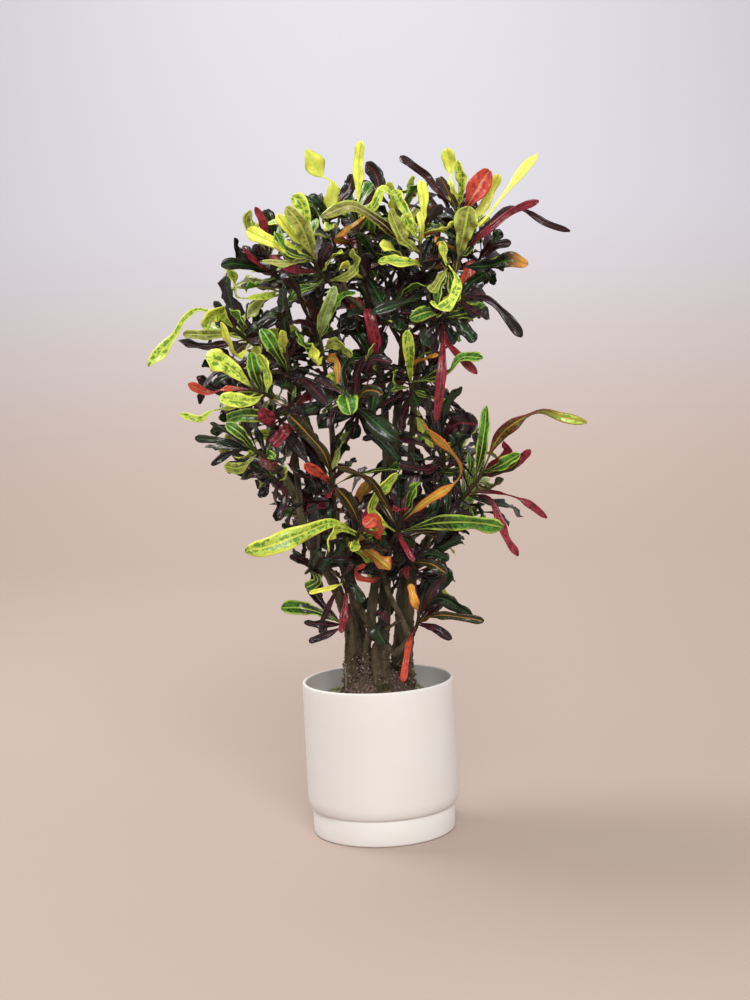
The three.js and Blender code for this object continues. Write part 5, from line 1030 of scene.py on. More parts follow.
def filling_leaf(stem, tries, room, spots, gap=LEAF_GAP):
    """The first of the tries that fits the picture and clears its neighbours."""
    blades, shares, picks = tries
    for k in range(TRIES):
        body = blades.body(k)
        if spots.leave_free(*body[:2]) and room.clears(*body, stem["name"], gap):
            finish = finish_at(blades.point[k, LEAF_STEPS // 2], shares[k], picks[k])
            return leaf_found(blades, k, body, stem["name"], finish)
    return None


def arcs(start, direction, across, length, bend, sway, curl):
    """Lines that leave `start`, bend downward and sideways, more toward their tips, and curl."""
    heading, side = direction, across
    line = [start]
    for i in range(LEAF_STEPS):
        growth = 2 * (i + 0.5) / LEAF_STEPS**2
        normal = np.cross(heading, side)
        curling = math.pi * math.sin(FULL_TURN * (i + 0.5) / LEAF_STEPS) / LEAF_STEPS
        heading = turned(heading, side, bend * growth + curl * curling)
        heading = turned(heading, normal, sway * growth)
        side = turned(side, normal, sway * growth)
        line.append(line[i] + heading * (length / LEAF_STEPS)[:, None])
    return np.stack(line, axis=1)


@functools.cache
def grown_plant():
    """The stems by name, and every leaf in the order that it found its place."""
    stems = {row[0]: grow_stem(row) for row in STEMS}
    room = Room()
    for stem in stems.values():
        always = np.ones(len(stem["line"]), bool)
        room.take(stem["line"], stem["radii"] + STEM_SKIN, always, "wood")
        if stem["leafy"]:
            at = np.array([place_on(stem, i / SHOOT_BALLS)[0] for i in range(SHOOT_BALLS + 1)])
            radii = np.full(len(at), stem["shoot_radius"] + STEM_SKIN)
            room.take(at, radii, np.ones(len(at), bool), stem["name"])
    leaves = []

    def add(leaf):
        if leaf:
            room.take(*leaf["body"], leaf["shoot"])
            leaves.append(leaf)

    for index, row in enumerate(SEEN_LEAVES):
        add(seen_leaf(stems[row[0]], row, index, room))
    wood = [body for body in room.bodies if body[3] == "wood"]
    spots = Spots(leaves, wood)
    for stem_index, stem in enumerate(stems.values()):
        count = js_round(stem["leafy"] / LEAF_SPACING)
        for index in range(count):
            add(filling_leaf(stem, filling_tries(stem, stem_index, index, count), room, spots))
    cad_leaves = len(leaves)
    add_young_leaves(stems, room, spots, add)
    print(f"croton: {cad_leaves} leaves as in the solids, {len(leaves) - cad_leaves} smaller ones")
    return stems, leaves


def add_young_leaves(stems, room, spots, add):
    """Smaller leaves than the solids have, in the room that is left along each shoot."""
    crown = bpy.context.scene.croton_crown
    for round_index in range(crown.young_rounds):
        for stem_index, stem in enumerate(stems.values()):
            if not stem["leafy"]:
                continue
            count = js_round(stem["leafy"] / crown.young_spacing)
            scale = crown.young_scale * (1 - YOUNG_SHRINK * round_index)
            for index in range(count):
                salt = YOUNG_SALT * (round_index + 1)
                tries = filling_tries(stem, stem_index, index, count, scale, YOUNG_SPREAD, salt)
                add(filling_leaf(stem, tries, room, spots, crown.young_gap))

# ---- Modelling -------------------------------------------------------------------------------------


def start_mesh():
    bm = bmesh.new()
    bm.loops.layers.uv.new("UVMap")
    return bm


def add_object(bm, name, materials, smooth=True):
    """The mesh as an object at the origin."""
    mesh = bpy.data.meshes.new(name)
    bm.to_mesh(mesh)
    bm.free()
    if smooth:
        mesh.shade_smooth()
    for material in materials:
        mesh.materials.append(material)
    made = bpy.data.objects.new(name, mesh)
    bpy.context.scene.collection.objects.link(made)
    return made


def finish_piece(bm, name, materials, slot, *nodes, smooth=True):
    """Makes the piece's object, on its body and in place of its CAD nodes."""
    piece = add_object(bm, name, materials, smooth)
    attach(piece, ROOT)
    if nodes:
        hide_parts(*nodes)


def add_sheet(bm, place, columns, rows):
    """A grid whose vertices stand at place(column, row). Returns them, row by row."""
    made = bmesh.ops.create_grid(bm, x_segments=columns, y_segments=rows, size=1, calc_uvs=True)["verts"]
    for vert in made:
        vert.co = place(round((vert.co.x + 1) / 2 * columns), round((vert.co.y + 1) / 2 * rows))
    return made


def add_tube(bm, line, radii, sides, bump=None):
    """A closed round tube along a line, in metres: a sheet wrapped round it, with its ends filled."""
    heading = headings(line)
    across = unit(np.cross(heading[0], [0.2, 1, 0.3]))
    frames = []
    for step in heading:
        across = unit(across - step * dot(across, step))
        frames.append((across, np.cross(step, across)))

    def place(column, row):
        angle = FULL_TURN * column / sides
        across, up = frames[row]
        radius = radii[row] * (1 + (bump(row, column % sides) if bump else 0))
        return Vector(line[row] + (across * math.cos(angle) + up * math.sin(angle)) * radius)

    made = add_sheet(bm, place, sides, len(line) - 1)
    bmesh.ops.remove_doubles(bm, verts=made, dist=SAME_PLACE)
    made = [vert for vert in made if vert.is_valid]
    rims = {edge for vert in made for edge in vert.link_edges if edge.is_boundary}
    bmesh.ops.holes_fill(bm, edges=list(rims), sides=0)
    faces = list({face for vert in made for face in vert.link_faces})
    bmesh.ops.recalc_face_normals(bm, faces=faces)
    return faces


def leaf_surface(leaf, columns, rows):
    """The points of a leaf's upper face in millimetres, as rows from root to tip of points across it."""
    blades, k = leaf["blades"], leaf["try"]
    step = np.linspace(0, LEAF_STEPS, rows + 1)
    t = step / LEAF_STEPS
    i = np.minimum(step.astype(int), LEAF_STEPS - 1)
    part = (step - i)[:, None]

    def at(values):
        values = values[k] if values.ndim == 3 else values[k][:, None]
        return values[i] * (1 - part) + values[i + 1] * part

    past_rounding = np.maximum(0, t - TIP_ROUNDING) / (TIP_END - TIP_ROUNDING)
    half = at(blades.half)
    widest = half.max()
    half = widest * (half / widest) ** (1 - FULLER * rise(t, *FULLER_FROM))[:, None]
    half = half * np.sqrt(1 - past_rounding**2)[:, None]
    left, right = at(blades.left), at(blades.right)
    point, across, normal = at(blades.point), at(blades.across), at(blades.normal)
    s = np.linspace(-1, 1, columns + 1)
    lift = np.where(s < 0, left, right) * np.abs(s) ** FOLD_POWER
    lift += BLADE_PUFF * half * np.sin(math.pi * np.abs(s))
    ruffles = np.sin(FULL_TURN * RUFFLES * t[:, None] + blades.phase[k] + RUFFLE_LAG * np.sign(s)) * s**2
    lift += RUFFLE_DEPTH * half * ruffles
    lift[:, columns // 2] -= RIB_GROOVE * np.minimum(1, half[:, 0] / FULL_GROOVE)
    return point[:, None] + across[:, None] * (half * s)[..., None] + normal[:, None] * lift[..., None]


def add_leaf(bm, leaf, columns, rows):
    """A leaf's faces, with its colours written on its vertices."""
    surface = leaf_surface(leaf, columns, rows) * MM
    made = add_sheet(bm, lambda column, row: Vector(surface[row, column]), columns, rows)
    palette = bpy.context.scene.croton_palette
    *names, veins, margin, spots, tip_from = FINISHES[leaf["finish"]]
    base, tip, rib, edge, spot = (Vector(getattr(palette, name)) for name in names)
    tone, shift = draws(TONE_SEED_STEP * leaf["number"] + TONE_SEED, 2)
    tone, start = between(*TONES, tone), tip_from + TIP_STRAY * (shift - 0.5)
    layers = [bm.verts.layers.float_color[name] for name in LEAF_COLOURS]
    for number, vert in enumerate(made):
        along = number // (columns + 1) / rows
        blade = base.lerp(tip, float(rise(along, start, start + TIP_BLEND))) * tone
        for layer, shade, strength in zip(layers, (blade, rib, edge, spot), (1, veins, margin, spots)):
            vert[layer] = (*shade, strength)


# ---- Materials -------------------------------------------------------------------------------------


def add_node(tree, kind, inputs=None, **settings):
    """A node with its settings made and then its inputs set, or linked where a socket is given."""
    node = tree.nodes.new(kind)
    for key, value in settings.items():
        setattr(node, key, value)
    for key, value in (inputs or {}).items():
        if isinstance(value, bpy.types.NodeSocket):
            tree.links.new(value, node.inputs[key])
        else:
            node.inputs[key].default_value = value
    return node


def calculate(tree, operation, *values):
    return add_node(tree, "ShaderNodeMath", dict(enumerate(values)), operation=operation).outputs[0]


def scaled(tree, value, factor, offset=0):
    """The value times a factor, with an offset added."""
    return calculate(tree, "MULTIPLY_ADD", value, factor, offset)


def smooth_step(tree, value, start, end):
    """0 at start and 1 at end. A start above the end turns it round."""
    low, high = (start, end) if start < end else (end, start)
    ends = {"From Min": low, "From Max": high, "To Min": float(start > end), "To Max": float(start < end)}
    inputs = {"Value": value, **ends}
    return add_node(tree, "ShaderNodeMapRange", inputs, interpolation_type="SMOOTHSTEP").outputs["Result"]


def mixed(tree, share, first, second, blend_type="MIX"):
    """A mix of two colours, each a socket or a value."""
    inputs = {0: share}
    for index, colour in ((6, first), (7, second)):
        inputs[index] = colour if isinstance(colour, bpy.types.NodeSocket) else (*colour[:3], 1)
    return add_node(tree, "ShaderNodeMix", inputs, data_type="RGBA", blend_type=blend_type).outputs[2]


def height_in_object(tree):
    place = add_node(tree, "ShaderNodeTexCoord").outputs["Object"]
    return add_node(tree, "ShaderNodeSeparateXYZ", {0: place}).outputs["Z"]


def shared_group(name, inputs, fill):
    """The shader node group of that name, made when it is first asked for.

    `inputs` gives the defaults of its inputs. `fill` makes its nodes and returns its outputs by name.
    """
    tree = bpy.data.node_groups.get(name)
    if tree:
        return tree
    tree = bpy.data.node_groups.new(name, "ShaderNodeTree")
    for key, default in inputs.items():
        socket = tree.interface.new_socket(key, in_out="INPUT", socket_type="NodeSocketFloat")
        socket.default_value = default
    made = fill(tree, tree.nodes.new("NodeGroupInput").outputs)
    for key in made:
        tree.interface.new_socket(key, in_out="OUTPUT", socket_type="NodeSocketFloat")
    result = tree.nodes.new("NodeGroupOutput").inputs
    for key, socket in made.items():
        tree.links.new(socket, result[key])
    return tree


def fill_speckle(tree, given):
    """Soft-edged patches in space: Mask is 1 in a patch, and Share is how much they cover."""
    place = add_node(tree, "ShaderNodeTexCoord").outputs["Object"]
    stretch = add_node(tree, "ShaderNodeCombineXYZ", {"X": 1, "Y": 1, "Z": given["Stretch"]}).outputs[0]
    place = add_node(tree, "ShaderNodeVectorMath", {0: place, 1: stretch}, operation="MULTIPLY").outputs[0]
    fields = {"Vector": place, "Scale": given["Scale"], "Detail": given["Detail"]}
    noise = add_node(tree, "ShaderNodeTexNoise", fields).outputs[0]
    above = calculate(tree, "SUBTRACT", noise, scaled(tree, given["Share"], -0.5, 0.75))
    mask = calculate(tree, "ADD", calculate(tree, "DIVIDE", above, given["Softness"]), 0.5)
    return {"Mask": add_node(tree, "ShaderNodeClamp", {"Value": mask}).outputs[0]}


def speckle(tree, scale, cover, softness=0.1, detail=2.0, stretch=1.0):
    inputs = {"Scale": scale, "Share": cover, "Softness": softness, "Detail": detail, "Stretch": stretch}
    group = shared_group("speckle", inputs, fill_speckle)
    return add_node(tree, "ShaderNodeGroup", inputs, node_tree=group).outputs["Mask"]


def fill_blade(tree, given):
    """What runs along a leaf, from its UV map: Midrib, Vein and Edge are masks, and Side is 0 to 1."""
    place = add_node(tree, "ShaderNodeUVMap", uv_map="UVMap").outputs[0]
    across, along, _ = add_node(tree, "ShaderNodeSeparateXYZ", {0: place}).outputs
    side = scaled(tree, calculate(tree, "ABSOLUTE", scaled(tree, across, 1, -0.5)), 2)
    wander = scaled(tree, speckle(tree, 220, 0.5, 0.9), 1, -0.5)
    rib = calculate(tree, "DIVIDE", side, given["Rib"])
    swept = calculate(tree, "MULTIPLY_ADD", along, given["Veins"], scaled(tree, side, -VEIN_SWEEP))
    cycle = calculate(tree, "FRACT", calculate(tree, "MULTIPLY_ADD", wander, 0.5, swept))
    line = smooth_step(tree, calculate(tree, "ABSOLUTE", scaled(tree, cycle, 1, -0.5)), 0.15, 0.03)
    past = calculate(tree, "SUBTRACT", calculate(tree, "MULTIPLY_ADD", wander, 0.35, side), given["Margin"])
    return {
        "Midrib": smooth_step(tree, rib, 1.4, 0.6),
        "Vein": calculate(tree, "MULTIPLY", line, smooth_step(tree, side, 0.95, 0.5)),
        "Edge": smooth_step(tree, past, -0.07, 0.07),
        "Side": side,
    }


def blade_masks(tree):
    group = shared_group("blade", {"Rib": 0.11, "Veins": 15, "Margin": 0.78}, fill_blade)
    return add_node(tree, "ShaderNodeGroup", node_tree=group).outputs


def new_material(name, base_colour, roughness, height=None, bump=(0, 0), settings=None):
    """A Principled material. `base_colour` and `height` are functions of its tree.

    `roughness` is uneven: the scale and softness of its patches, how much they add, and the least of
    it. `bump` is the strength of the relief and its depth in metres.
    """
    material = bpy.data.materials.new(name)
    material.use_nodes = True
    tree = material.node_tree
    shader = tree.nodes["Principled BSDF"]
    for key, value in (settings or {}).items():
        shader.inputs[key].default_value = value
    tree.links.new(base_colour(tree), shader.inputs["Base Color"])
    scale, softness, most, least = roughness
    tree.links.new(scaled(tree, speckle(tree, scale, 0.5, softness), most, least), shader.inputs["Roughness"])
    if height:
        inputs = {"Height": height(tree), "Strength": bump[0], "Distance": bump[1]}
        tree.links.new(add_node(tree, "ShaderNodeBump", inputs).outputs[0], shader.inputs["Normal"])
    return material


def leaf_material():
    """A leaf's blade, blotched, veined and edged in the colours that its vertices carry."""

    def base_colour(tree):
        masks = blade_masks(tree)
        colours = {
            key: add_node(tree, "ShaderNodeAttribute", attribute_name=key).outputs for key in LEAF_COLOURS
        }
        near = scaled(tree, masks["Side"], -0.5, 0.12)
        blotch = calculate(tree, "ADD", near, speckle(tree, 190, 0.5, 0.45, 3))
        layers = (
            (smooth_step(tree, blotch, 0.36, 0.56), colours["spot"]["Alpha"], "spot"),
            (masks["Vein"], colours["rib"]["Alpha"], "rib"),
            (masks["Edge"], colours["edge"]["Alpha"], "edge"),
            (masks["Midrib"], scaled(tree, colours["rib"]["Alpha"], 2.6, 0.3), "rib"),
        )
        made = colours["blade"]["Color"]
        for mask, strength, key in layers:
            share = calculate(tree, "MINIMUM", calculate(tree, "MULTIPLY", mask, strength), STRONGEST)
            made = mixed(tree, share, made, colours[key]["Color"])
        return mixed(tree, scaled(tree, speckle(tree, 320, 0.5, 0.5, 3), 0.17), made, LEAF_SHADE, "MULTIPLY")

    def height(tree):
        masks = blade_masks(tree)
        fine = scaled(tree, speckle(tree, 420, 0.5, 0.7), 0.35)
        return calculate(tree, "SUBTRACT", fine, calculate(tree, "ADD", masks["Vein"], masks["Midrib"]))

    gloss = bpy.context.scene.croton_crown.gloss
    settings = {"Coat Weight": gloss, "Coat Roughness": 0.13, "Specular IOR Level": 0.3}
    return new_material("leaf", base_colour, (210, 0.6, 0.16, 0.2), height, (0.5, 0.0005), settings)


def bark_material(name, light, dark, scale, dust, high=None):
    """Bark in two colours, in streaks along the stem, with pale dust and a green bloom.

    `high` is the light colour above the height where the stems turn paler.
    """

    def base_colour(tree):
        paler = smooth_step(tree, height_in_object(tree), *PALER_FROM)
        made = mixed(tree, paler, light, high or light)
        made = mixed(tree, speckle(tree, scale, 0.5, 0.45, 4, BARK_STRETCH), dark, made)
        bloom = scaled(tree, speckle(tree, 0.3 * scale, 0.4, 0.3, 3), 0.3)
        made = mixed(tree, bloom, made, BLOOM)
        return mixed(tree, scaled(tree, speckle(tree, 3 * scale, 0.22, 0.1), 0.35), made, dust)

    def height(tree):
        return speckle(tree, 1.6 * scale, 0.5, 0.5, 4, BARK_STRETCH)

    settings = {"Specular IOR Level": 0.22}
    return new_material(name, base_colour, (2 * scale, 0.4, 0.2, 0.55), height, (1.0, 0.0016), settings)


def ceramic_material():
    """White glaze, warmer in soft clouds, with a few faint flecks."""
    glaze = bpy.context.scene.croton_pot.glaze

    def base_colour(tree):
        warm = tuple(channel * warmth for channel, warmth in zip(glaze, GLAZE_WARMTH))
        made = mixed(tree, speckle(tree, 14, 0.5, 0.6, 3), glaze, warm)
        return mixed(tree, scaled(tree, speckle(tree, 900, 0.1, 0.05), 0.12), made, FLECK)

    def height(tree):
        return speckle(tree, 240, 0.5, 0.8, 3)

    settings = {"Specular IOR Level": 0.4}
    return new_material("ceramic", base_colour, (60, 0.5, 0.12, 0.42), height, (0.12, 0.0003), settings)


def grainy_material(name, base, other, scale, rough=0.85, bump=0.8):
    """A rough earthy finish of two colours."""

    def base_colour(tree):
        return mixed(tree, speckle(tree, scale, 0.5, 0.2, 4), base, other)

    def height(tree):
        return speckle(tree, 2 * scale, 0.5, 0.5, 4)

    return new_material(name, base_colour, (scale, 0.5, 0.1, rough), height, (bump, 0.001))


def tinted(colour, factor):
    return tuple(channel * factor for channel in colour)


# ---- Pieces ----------------------------------------------------------------------------------------


class PieceOperator:
    """What the operators share: each builds its pieces in the object's own frame, and can be undone."""

    bl_options = {"REGISTER", "UNDO"}


def arc_points(centre, radius, start, end, steps):
    """Points of an arc in the plane of a profile, from one angle to another in degrees."""
    angles = np.radians(np.linspace(start, end, steps + 1))
    return [(centre[0] + radius * math.cos(a), centre[1] + radius * math.sin(a)) for a in angles]


def spun(bm, profile, segments):
    """The solid that a closed profile of (radius, height) points makes about the vertical axis."""
    verts = [bm.verts.new((r, 0, z)) for r, z in profile]
    edges = [bm.edges.new(pair) for pair in zip(verts, verts[1:])]
    turn = {"cent": (0, 0, 0), "axis": (0, 0, 1), "angle": FULL_TURN, "steps": segments}
    bmesh.ops.spin(bm, geom=verts + edges, use_merge=True, **turn)
    bmesh.ops.remove_doubles(bm, verts=bm.verts, dist=SAME_PLACE)
    bmesh.ops.recalc_face_normals(bm, faces=bm.faces)


class CROTON_OT_pot(PieceOperator, bpy.types.Operator):
    """Model the ceramic pot with its rounded rim, shoulder, groove and foot"""

    bl_idname = "croton.pot"
    bl_label = "Pot"

    def execute(self, context):
        pot = context.scene.croton_pot
        overhang = pot.radius - pot.foot_radius
        lip = pot.wall / 2
        inner_foot = pot.foot_radius - pot.wall
        turn_in = pot.foot_height + pot.groove + pot.shoulder
        ring = pot.foot_radius - FOOT_RING
        edge = pot.foot_radius - pot.edge
        rounding = arc_points((pot.foot_radius, 0), overhang, -88, 0, 12)
        profile = [
            (0, UNDERSIDE_LIFT),
            (ring, UNDERSIDE_LIFT),
            (ring + RING_SLOPE, 0),
            (edge, 0),
            *arc_points((edge, pot.edge), pot.edge, -80, 0, 6),
            (pot.foot_radius, pot.foot_height - 1.6 * pot.groove),
            *arc_points((pot.foot_radius + GROOVE_SHIFT, pot.foot_height), 1.3 * pot.groove, 240, 130, 8),
            *((r, turn_in + z * pot.shoulder / overhang) for r, z in rounding),
        ]
        straight = np.linspace(turn_in + STRAIGHT_FROM, pot.height - lip, 16)
        profile += [(pot.radius, z) for z in straight]
        profile += arc_points((pot.radius - lip, pot.height - lip), lip, 0, 180, 10)[1:]
        profile += [(pot.radius - pot.wall, z) for z in straight[::-1][1:]]
        profile.append((inner_foot, pot.foot_height))
        corner = (inner_foot - INNER_CORNER, pot.floor + INNER_CORNER)
        profile += arc_points(corner, INNER_CORNER, 0, -90, 6)
        profile.append((0, pot.floor))
        bm = start_mesh()
        spun(bm, profile, POT_SEGMENTS)
        finish_piece(bm, "croton_pot", [ceramic_material()], SLOT_OF["pot"], "pot")
        return {"FINISHED"}


def soil_height(x, y):
    """The height of the soil, in millimetres, as on its solid."""
    out = np.minimum(1, np.hypot(x, y - MOUND_SHIFT) / MOUND_RADIUS)
    bumps = np.sin(x / 7.3 + 1.2) * np.cos(y / 6.1 + 0.4) + 0.6 * np.sin(x / 3.9 - y / 4.7)
    return SOIL_LEVEL + SOIL_MOUND * (1 - out * out) ** 1.5 + SOIL_RELIEF * bumps


def rough_soil(x, y):
    """The soil's height with its crumbs, which the solid is too coarse for."""
    crumbs = math.sin(x * 1.9 + 2 * math.sin(y * 0.9)) * math.sin(y * 2.1 + 2 * math.sin(x * 0.8))
    lumps = math.sin(x * 0.71 + 1.3) * math.sin(y * 0.83 - 0.4)
    return float(soil_height(x, y)) + CRUMB_RELIEF * crumbs + LUMP_RELIEF * lumps


class CROTON_OT_soil(PieceOperator, bpy.types.Operator):
    """Model the soil with its rough mound about the stems"""

    bl_idname = "croton.soil"
    bl_label = "Soil"

    def execute(self, context):
        pot, soil = context.scene.croton_pot, context.scene.croton_soil
        radius = pot.radius - pot.wall - SOIL_CLEARANCE
        profile = [(radius * i / SOIL_RINGS, SOIL_LEVEL * MM) for i in range(SOIL_RINGS + 1)]
        profile += [(radius, z) for z in SOIL_SIDES]
        radius -= SOIL_CORNER
        profile += [
            (radius, pot.foot_height),
            (radius - SOIL_SLOPE, pot.floor + 1.5 * SOIL_LIFT),
            (0, pot.floor + SOIL_LIFT),
        ]
        bm = start_mesh()
        spun(bm, profile, SOIL_SEGMENTS)
        for vert in bm.verts:
            if vert.co.z > SOIL_TOP_FROM:
                vert.co.z = rough_soil(vert.co.x / MM, vert.co.y / MM) * MM
        earth = grainy_material("earth", soil.earth, soil.crumb, 260)
        finish_piece(bm, "croton_soil", [earth], SLOT_OF["soil"], "soil")
        return {"FINISHED"}


def soil_point(drawn, spread):
    """A point on the soil, closer to the middle for a smaller spread."""
    angle = FULL_TURN * drawn[0]
    out = SCATTER_RADIUS * drawn[1] ** spread
    x, y = out * math.cos(angle), out * math.sin(angle)
    return x, y, rough_soil(x, y)


def foot_point(stem, drawn):
    """A point on the bark of a planted stem, close above the soil."""
    angle = FULL_TURN * drawn[0]
    x, y = stem["line"][2][:2]
    height = float(soil_height(x, y)) + CLIMB * drawn[1] ** 2
    centre = [np.interp(height, stem["line"][:6, 2], stem["line"][:6, axis]) for axis in (0, 1)]
    reach = stem["radii"][0] + 0.6 + 1.6 * drawn[2] * (1 - drawn[1])
    return centre[0] + reach * math.cos(angle), centre[1] + reach * math.sin(angle), height


def planted(stems):
    return [stem for stem in stems.values() if not stem["parent"]]


class CROTON_OT_top_dressing(PieceOperator, bpy.types.Operator):
    """Scatter grit, crumbs of bark and moss on the soil, with surface roots and a dry stalk"""

    bl_idname = "croton.top_dressing"
    bl_label = "Top dressing"

    def execute(self, context):
        soil = context.scene.croton_soil
        crumb = grainy_material("crumb", soil.crumb, tinted(soil.crumb, 0.3), 400)
        grit = grainy_material("grit", soil.grit, tinted(soil.grit, 0.5), 500)
        self.scatter("croton_crumbs", CRUMB_SEED, soil.crumbs, LARGEST_CRUMB, crumb)
        self.scatter("croton_grit", GRIT_SEED, soil.stones, LARGEST_STONE, grit)
        self.roots(context.scene.croton_crown)
        self.moss(soil)
        self.stalk()
        return {"FINISHED"}

    def scatter(self, name, seed, count, largest, material):
        """Low-sided lumps half sunk into the soil, many of them about the stems and on their feet."""
        stems, _ = grown_plant()
        feet = planted(stems)
        bm = start_mesh()
        for i in range(count):
            drawn = draws(seed + LUMP_SEED_STEP * i, 9)
            x, y, z = soil_point(drawn, WIDE_SPREAD if drawn[8] > SPREAD_FROM else CLOSE_SPREAD)
            if drawn[8] < ON_FEET:
                x, y, z = foot_point(feet[i % len(feet)], drawn)
            size = between(SMALLEST_LUMP, largest, drawn[2] ** 2.5)
            turn = Euler([6.3 * k for k in drawn[3:6]]).to_matrix().to_4x4()
            longer, flatter = between(*LUMP_LENGTHS, drawn[6]), between(*LUMP_HEIGHTS, drawn[7])
            stretch = Matrix.Diagonal((size * longer, size, size * flatter, 1))
            place = Matrix.Translation(Vector((x, y, z + LUMP_LIFT * size)) * MM)
            place = place @ turn @ Matrix.Scale(MM, 4) @ stretch
            bmesh.ops.create_icosphere(bm, subdivisions=1, radius=1, matrix=place)
        finish_piece(bm, name, [material], SLOT_OF["soil"], smooth=False)

    def roots(self, crown):
        """Fine roots that run from the stems' feet down the mound, half sunk into it."""
        stems, _ = grown_plant()
        feet = [stem["line"][1] for stem in planted(stems)]
        bm = start_mesh()
        for i in range(ROOTS_PER_STEM * len(feet)):
            drawn = draws(ROOT_SEED + ROOT_SEED_STEP * i, 4)
            x, y = feet[i % len(feet)][:2]
            heading, stride = FULL_TURN * drawn[0], between(*ROOT_LENGTHS, drawn[1]) / ROOT_STEPS
            line = []
            for step in range(ROOT_STEPS + 1):
                line.append((x, y, rough_soil(x, y) + ROOT_LIFT - ROOT_DIVE * step))
                stray = draws(i * ROOT_STRAY_SEED_STEP + step, 1)[0]
                heading += between(*ROOT_STRAY, stray) + 0.1 * math.sin(step)
                x, y = x + stride * math.cos(heading), y + stride * math.sin(heading)
            radii = np.linspace(between(*ROOT_RADII, drawn[2] ** 2), ROOT_END, ROOT_STEPS + 1)
            add_tube(bm, np.array(line) * MM, radii * MM, 6)
        light, dark = tinted(crown.bark, 1.3), tinted(crown.bark_shade, 1.6)
        root = bark_material("root", light, dark, 300, ROOT_DUST)
        finish_piece(bm, "croton_roots", [root], SLOT_OF["soil"])

    def moss(self, soil):
        """Low cushions covered in tufts of short pointed leaflets."""
        bm = start_mesh()
        for x, y, radius in MOSS_PATCHES:
            place = Matrix.Translation(Vector((x, y, rough_soil(x, y))) * MM)
            cushion = place @ Matrix.Diagonal((radius * MM, radius * MM, MOSS_LIFT * MM, 1))
            bmesh.ops.create_icosphere(bm, subdivisions=3, radius=1, matrix=cushion)
        for i in range(soil.moss_tufts):
            drawn = draws(MOSS_SEED + MOSS_SEED_STEP * i, 4)
            patch_x, patch_y, patch_radius = MOSS_PATCHES[i % len(MOSS_PATCHES)]
            angle, out = FULL_TURN * drawn[0], patch_radius * drawn[1]
            x, y = patch_x + out * math.cos(angle), patch_y + out * math.sin(angle)
            if math.hypot(x, y) > MOSS_RADIUS:
                continue
            lift = MOSS_LIFT * math.sqrt(1 - drawn[1] ** 2)
            self.tuft(bm, (x, y, rough_soil(patch_x, patch_y) + lift), i, drawn)
        moss = grainy_material("moss", soil.moss, tinted(soil.moss, 0.5), 700)
        finish_piece(bm, "croton_moss", [moss], SLOT_OF["soil"])

    def tuft(self, bm, point, number, drawn):
        """Leaflets that lean out all round a point."""
        base = Matrix.Translation(Vector(point) * MM)
        height = between(*TUFT_HEIGHTS, drawn[3]) * MM
        for k in range(TUFT_LEAFLETS):
            tilt = between(*TUFT_TILTS, draws(number * TUFT_SEED_STEP + k, 1)[0])
            lean = Euler((tilt, 0, 1.26 * k + 6.3 * drawn[2])).to_matrix()
            place = base @ lean.to_4x4() @ Matrix.Translation((0, 0, height / 2))
            ends = {"radius1": LEAFLET_FOOT * MM, "radius2": LEAFLET_TIP * MM}
            bmesh.ops.create_cone(bm, cap_ends=True, segments=4, depth=height, matrix=place, **ends)

    def stalk(self):
        """The thin dry stalk that stands at the left of the stems."""
        line = even_line(from_photo(STALK), 10) * MM
        bm = start_mesh()
        add_tube(bm, line, np.full(11, STALK_RADIUS), 8)
        straw = grainy_material("straw", STRAW, STRAW_SHADE, 300, 0.7, 0.3)
        finish_piece(bm, "croton_stalk", [straw], SLOT_OF["soil"])


def wood_shape(stem):
    """A stem's line and radii in metres, with a swollen foot, a collar at its fork and leaf scars."""
    line = stem["line"]
    steps = max(8, int(length_of(line) / WOOD_STEP))
    fine = even_line(line, steps)
    radii = np.interp(np.linspace(0, 1, steps + 1), np.linspace(0, 1, len(stem["radii"])), stem["radii"])
    along = np.linspace(0, length_of(line), steps + 1)
    if stem["parent"]:
        radii = radii * (1 + FORK_COLLAR * np.exp(-along / COLLAR_LENGTH))
    elif stem["leafy"]:
        above = np.maximum(0, fine[:, 2] - SOIL_LEVEL - SWELL_FROM)
        radii = radii * (1 + FOOT_SWELL * np.exp(-above / SWELL_LENGTH))
    else:
        radii[-len(CUT_END) :] = radii[-len(CUT_END)] * np.array(CUT_END)
    seed = sum(map(ord, stem["name"]))
    from_scar = [(along + 3 * (seed % 7)) % spacing - spacing / 2 for spacing in SCAR_SPACINGS]
    scars = sum(np.exp(-(away**2) / SCAR_WIDTH) for away in from_scar)
    return fine * MM, radii * (1 + SCAR_RELIEF * scars) * MM, seed


class CROTON_OT_stems(PieceOperator, bpy.types.Operator):
    """Model the woody stems and their branches with bark"""

    bl_idname = "croton.stems"
    bl_label = "Stems"

    def execute(self, context):
        crown = context.scene.croton_crown
        stems, _ = grown_plant()
        bark = bark_material("bark", crown.bark, crown.bark_shade, 130, BARK_DUST, crown.bark_high)
        for root in planted(stems):
            bm = start_mesh()
            for stem in stems.values():
                if root_of(stems, stem) is root:
                    line, radii, seed = wood_shape(stem)

                    def knots(row, column, seed=seed):
                        twisting = math.sin(1.2 * column + 0.21 * row + seed)
                        twisting += math.sin(1.9 * column - 0.34 * row)
                        return 0.055 * twisting + 0.035 * math.sin(1.3 * row + column)

                    add_tube(bm, line, radii, 12 if stem["parent"] else 16, knots)
            name = f"stem_{root['name']}"
            finish_piece(bm, f"croton_{name}", [bark], SLOT_OF[name], name)
        return {"FINISHED"}


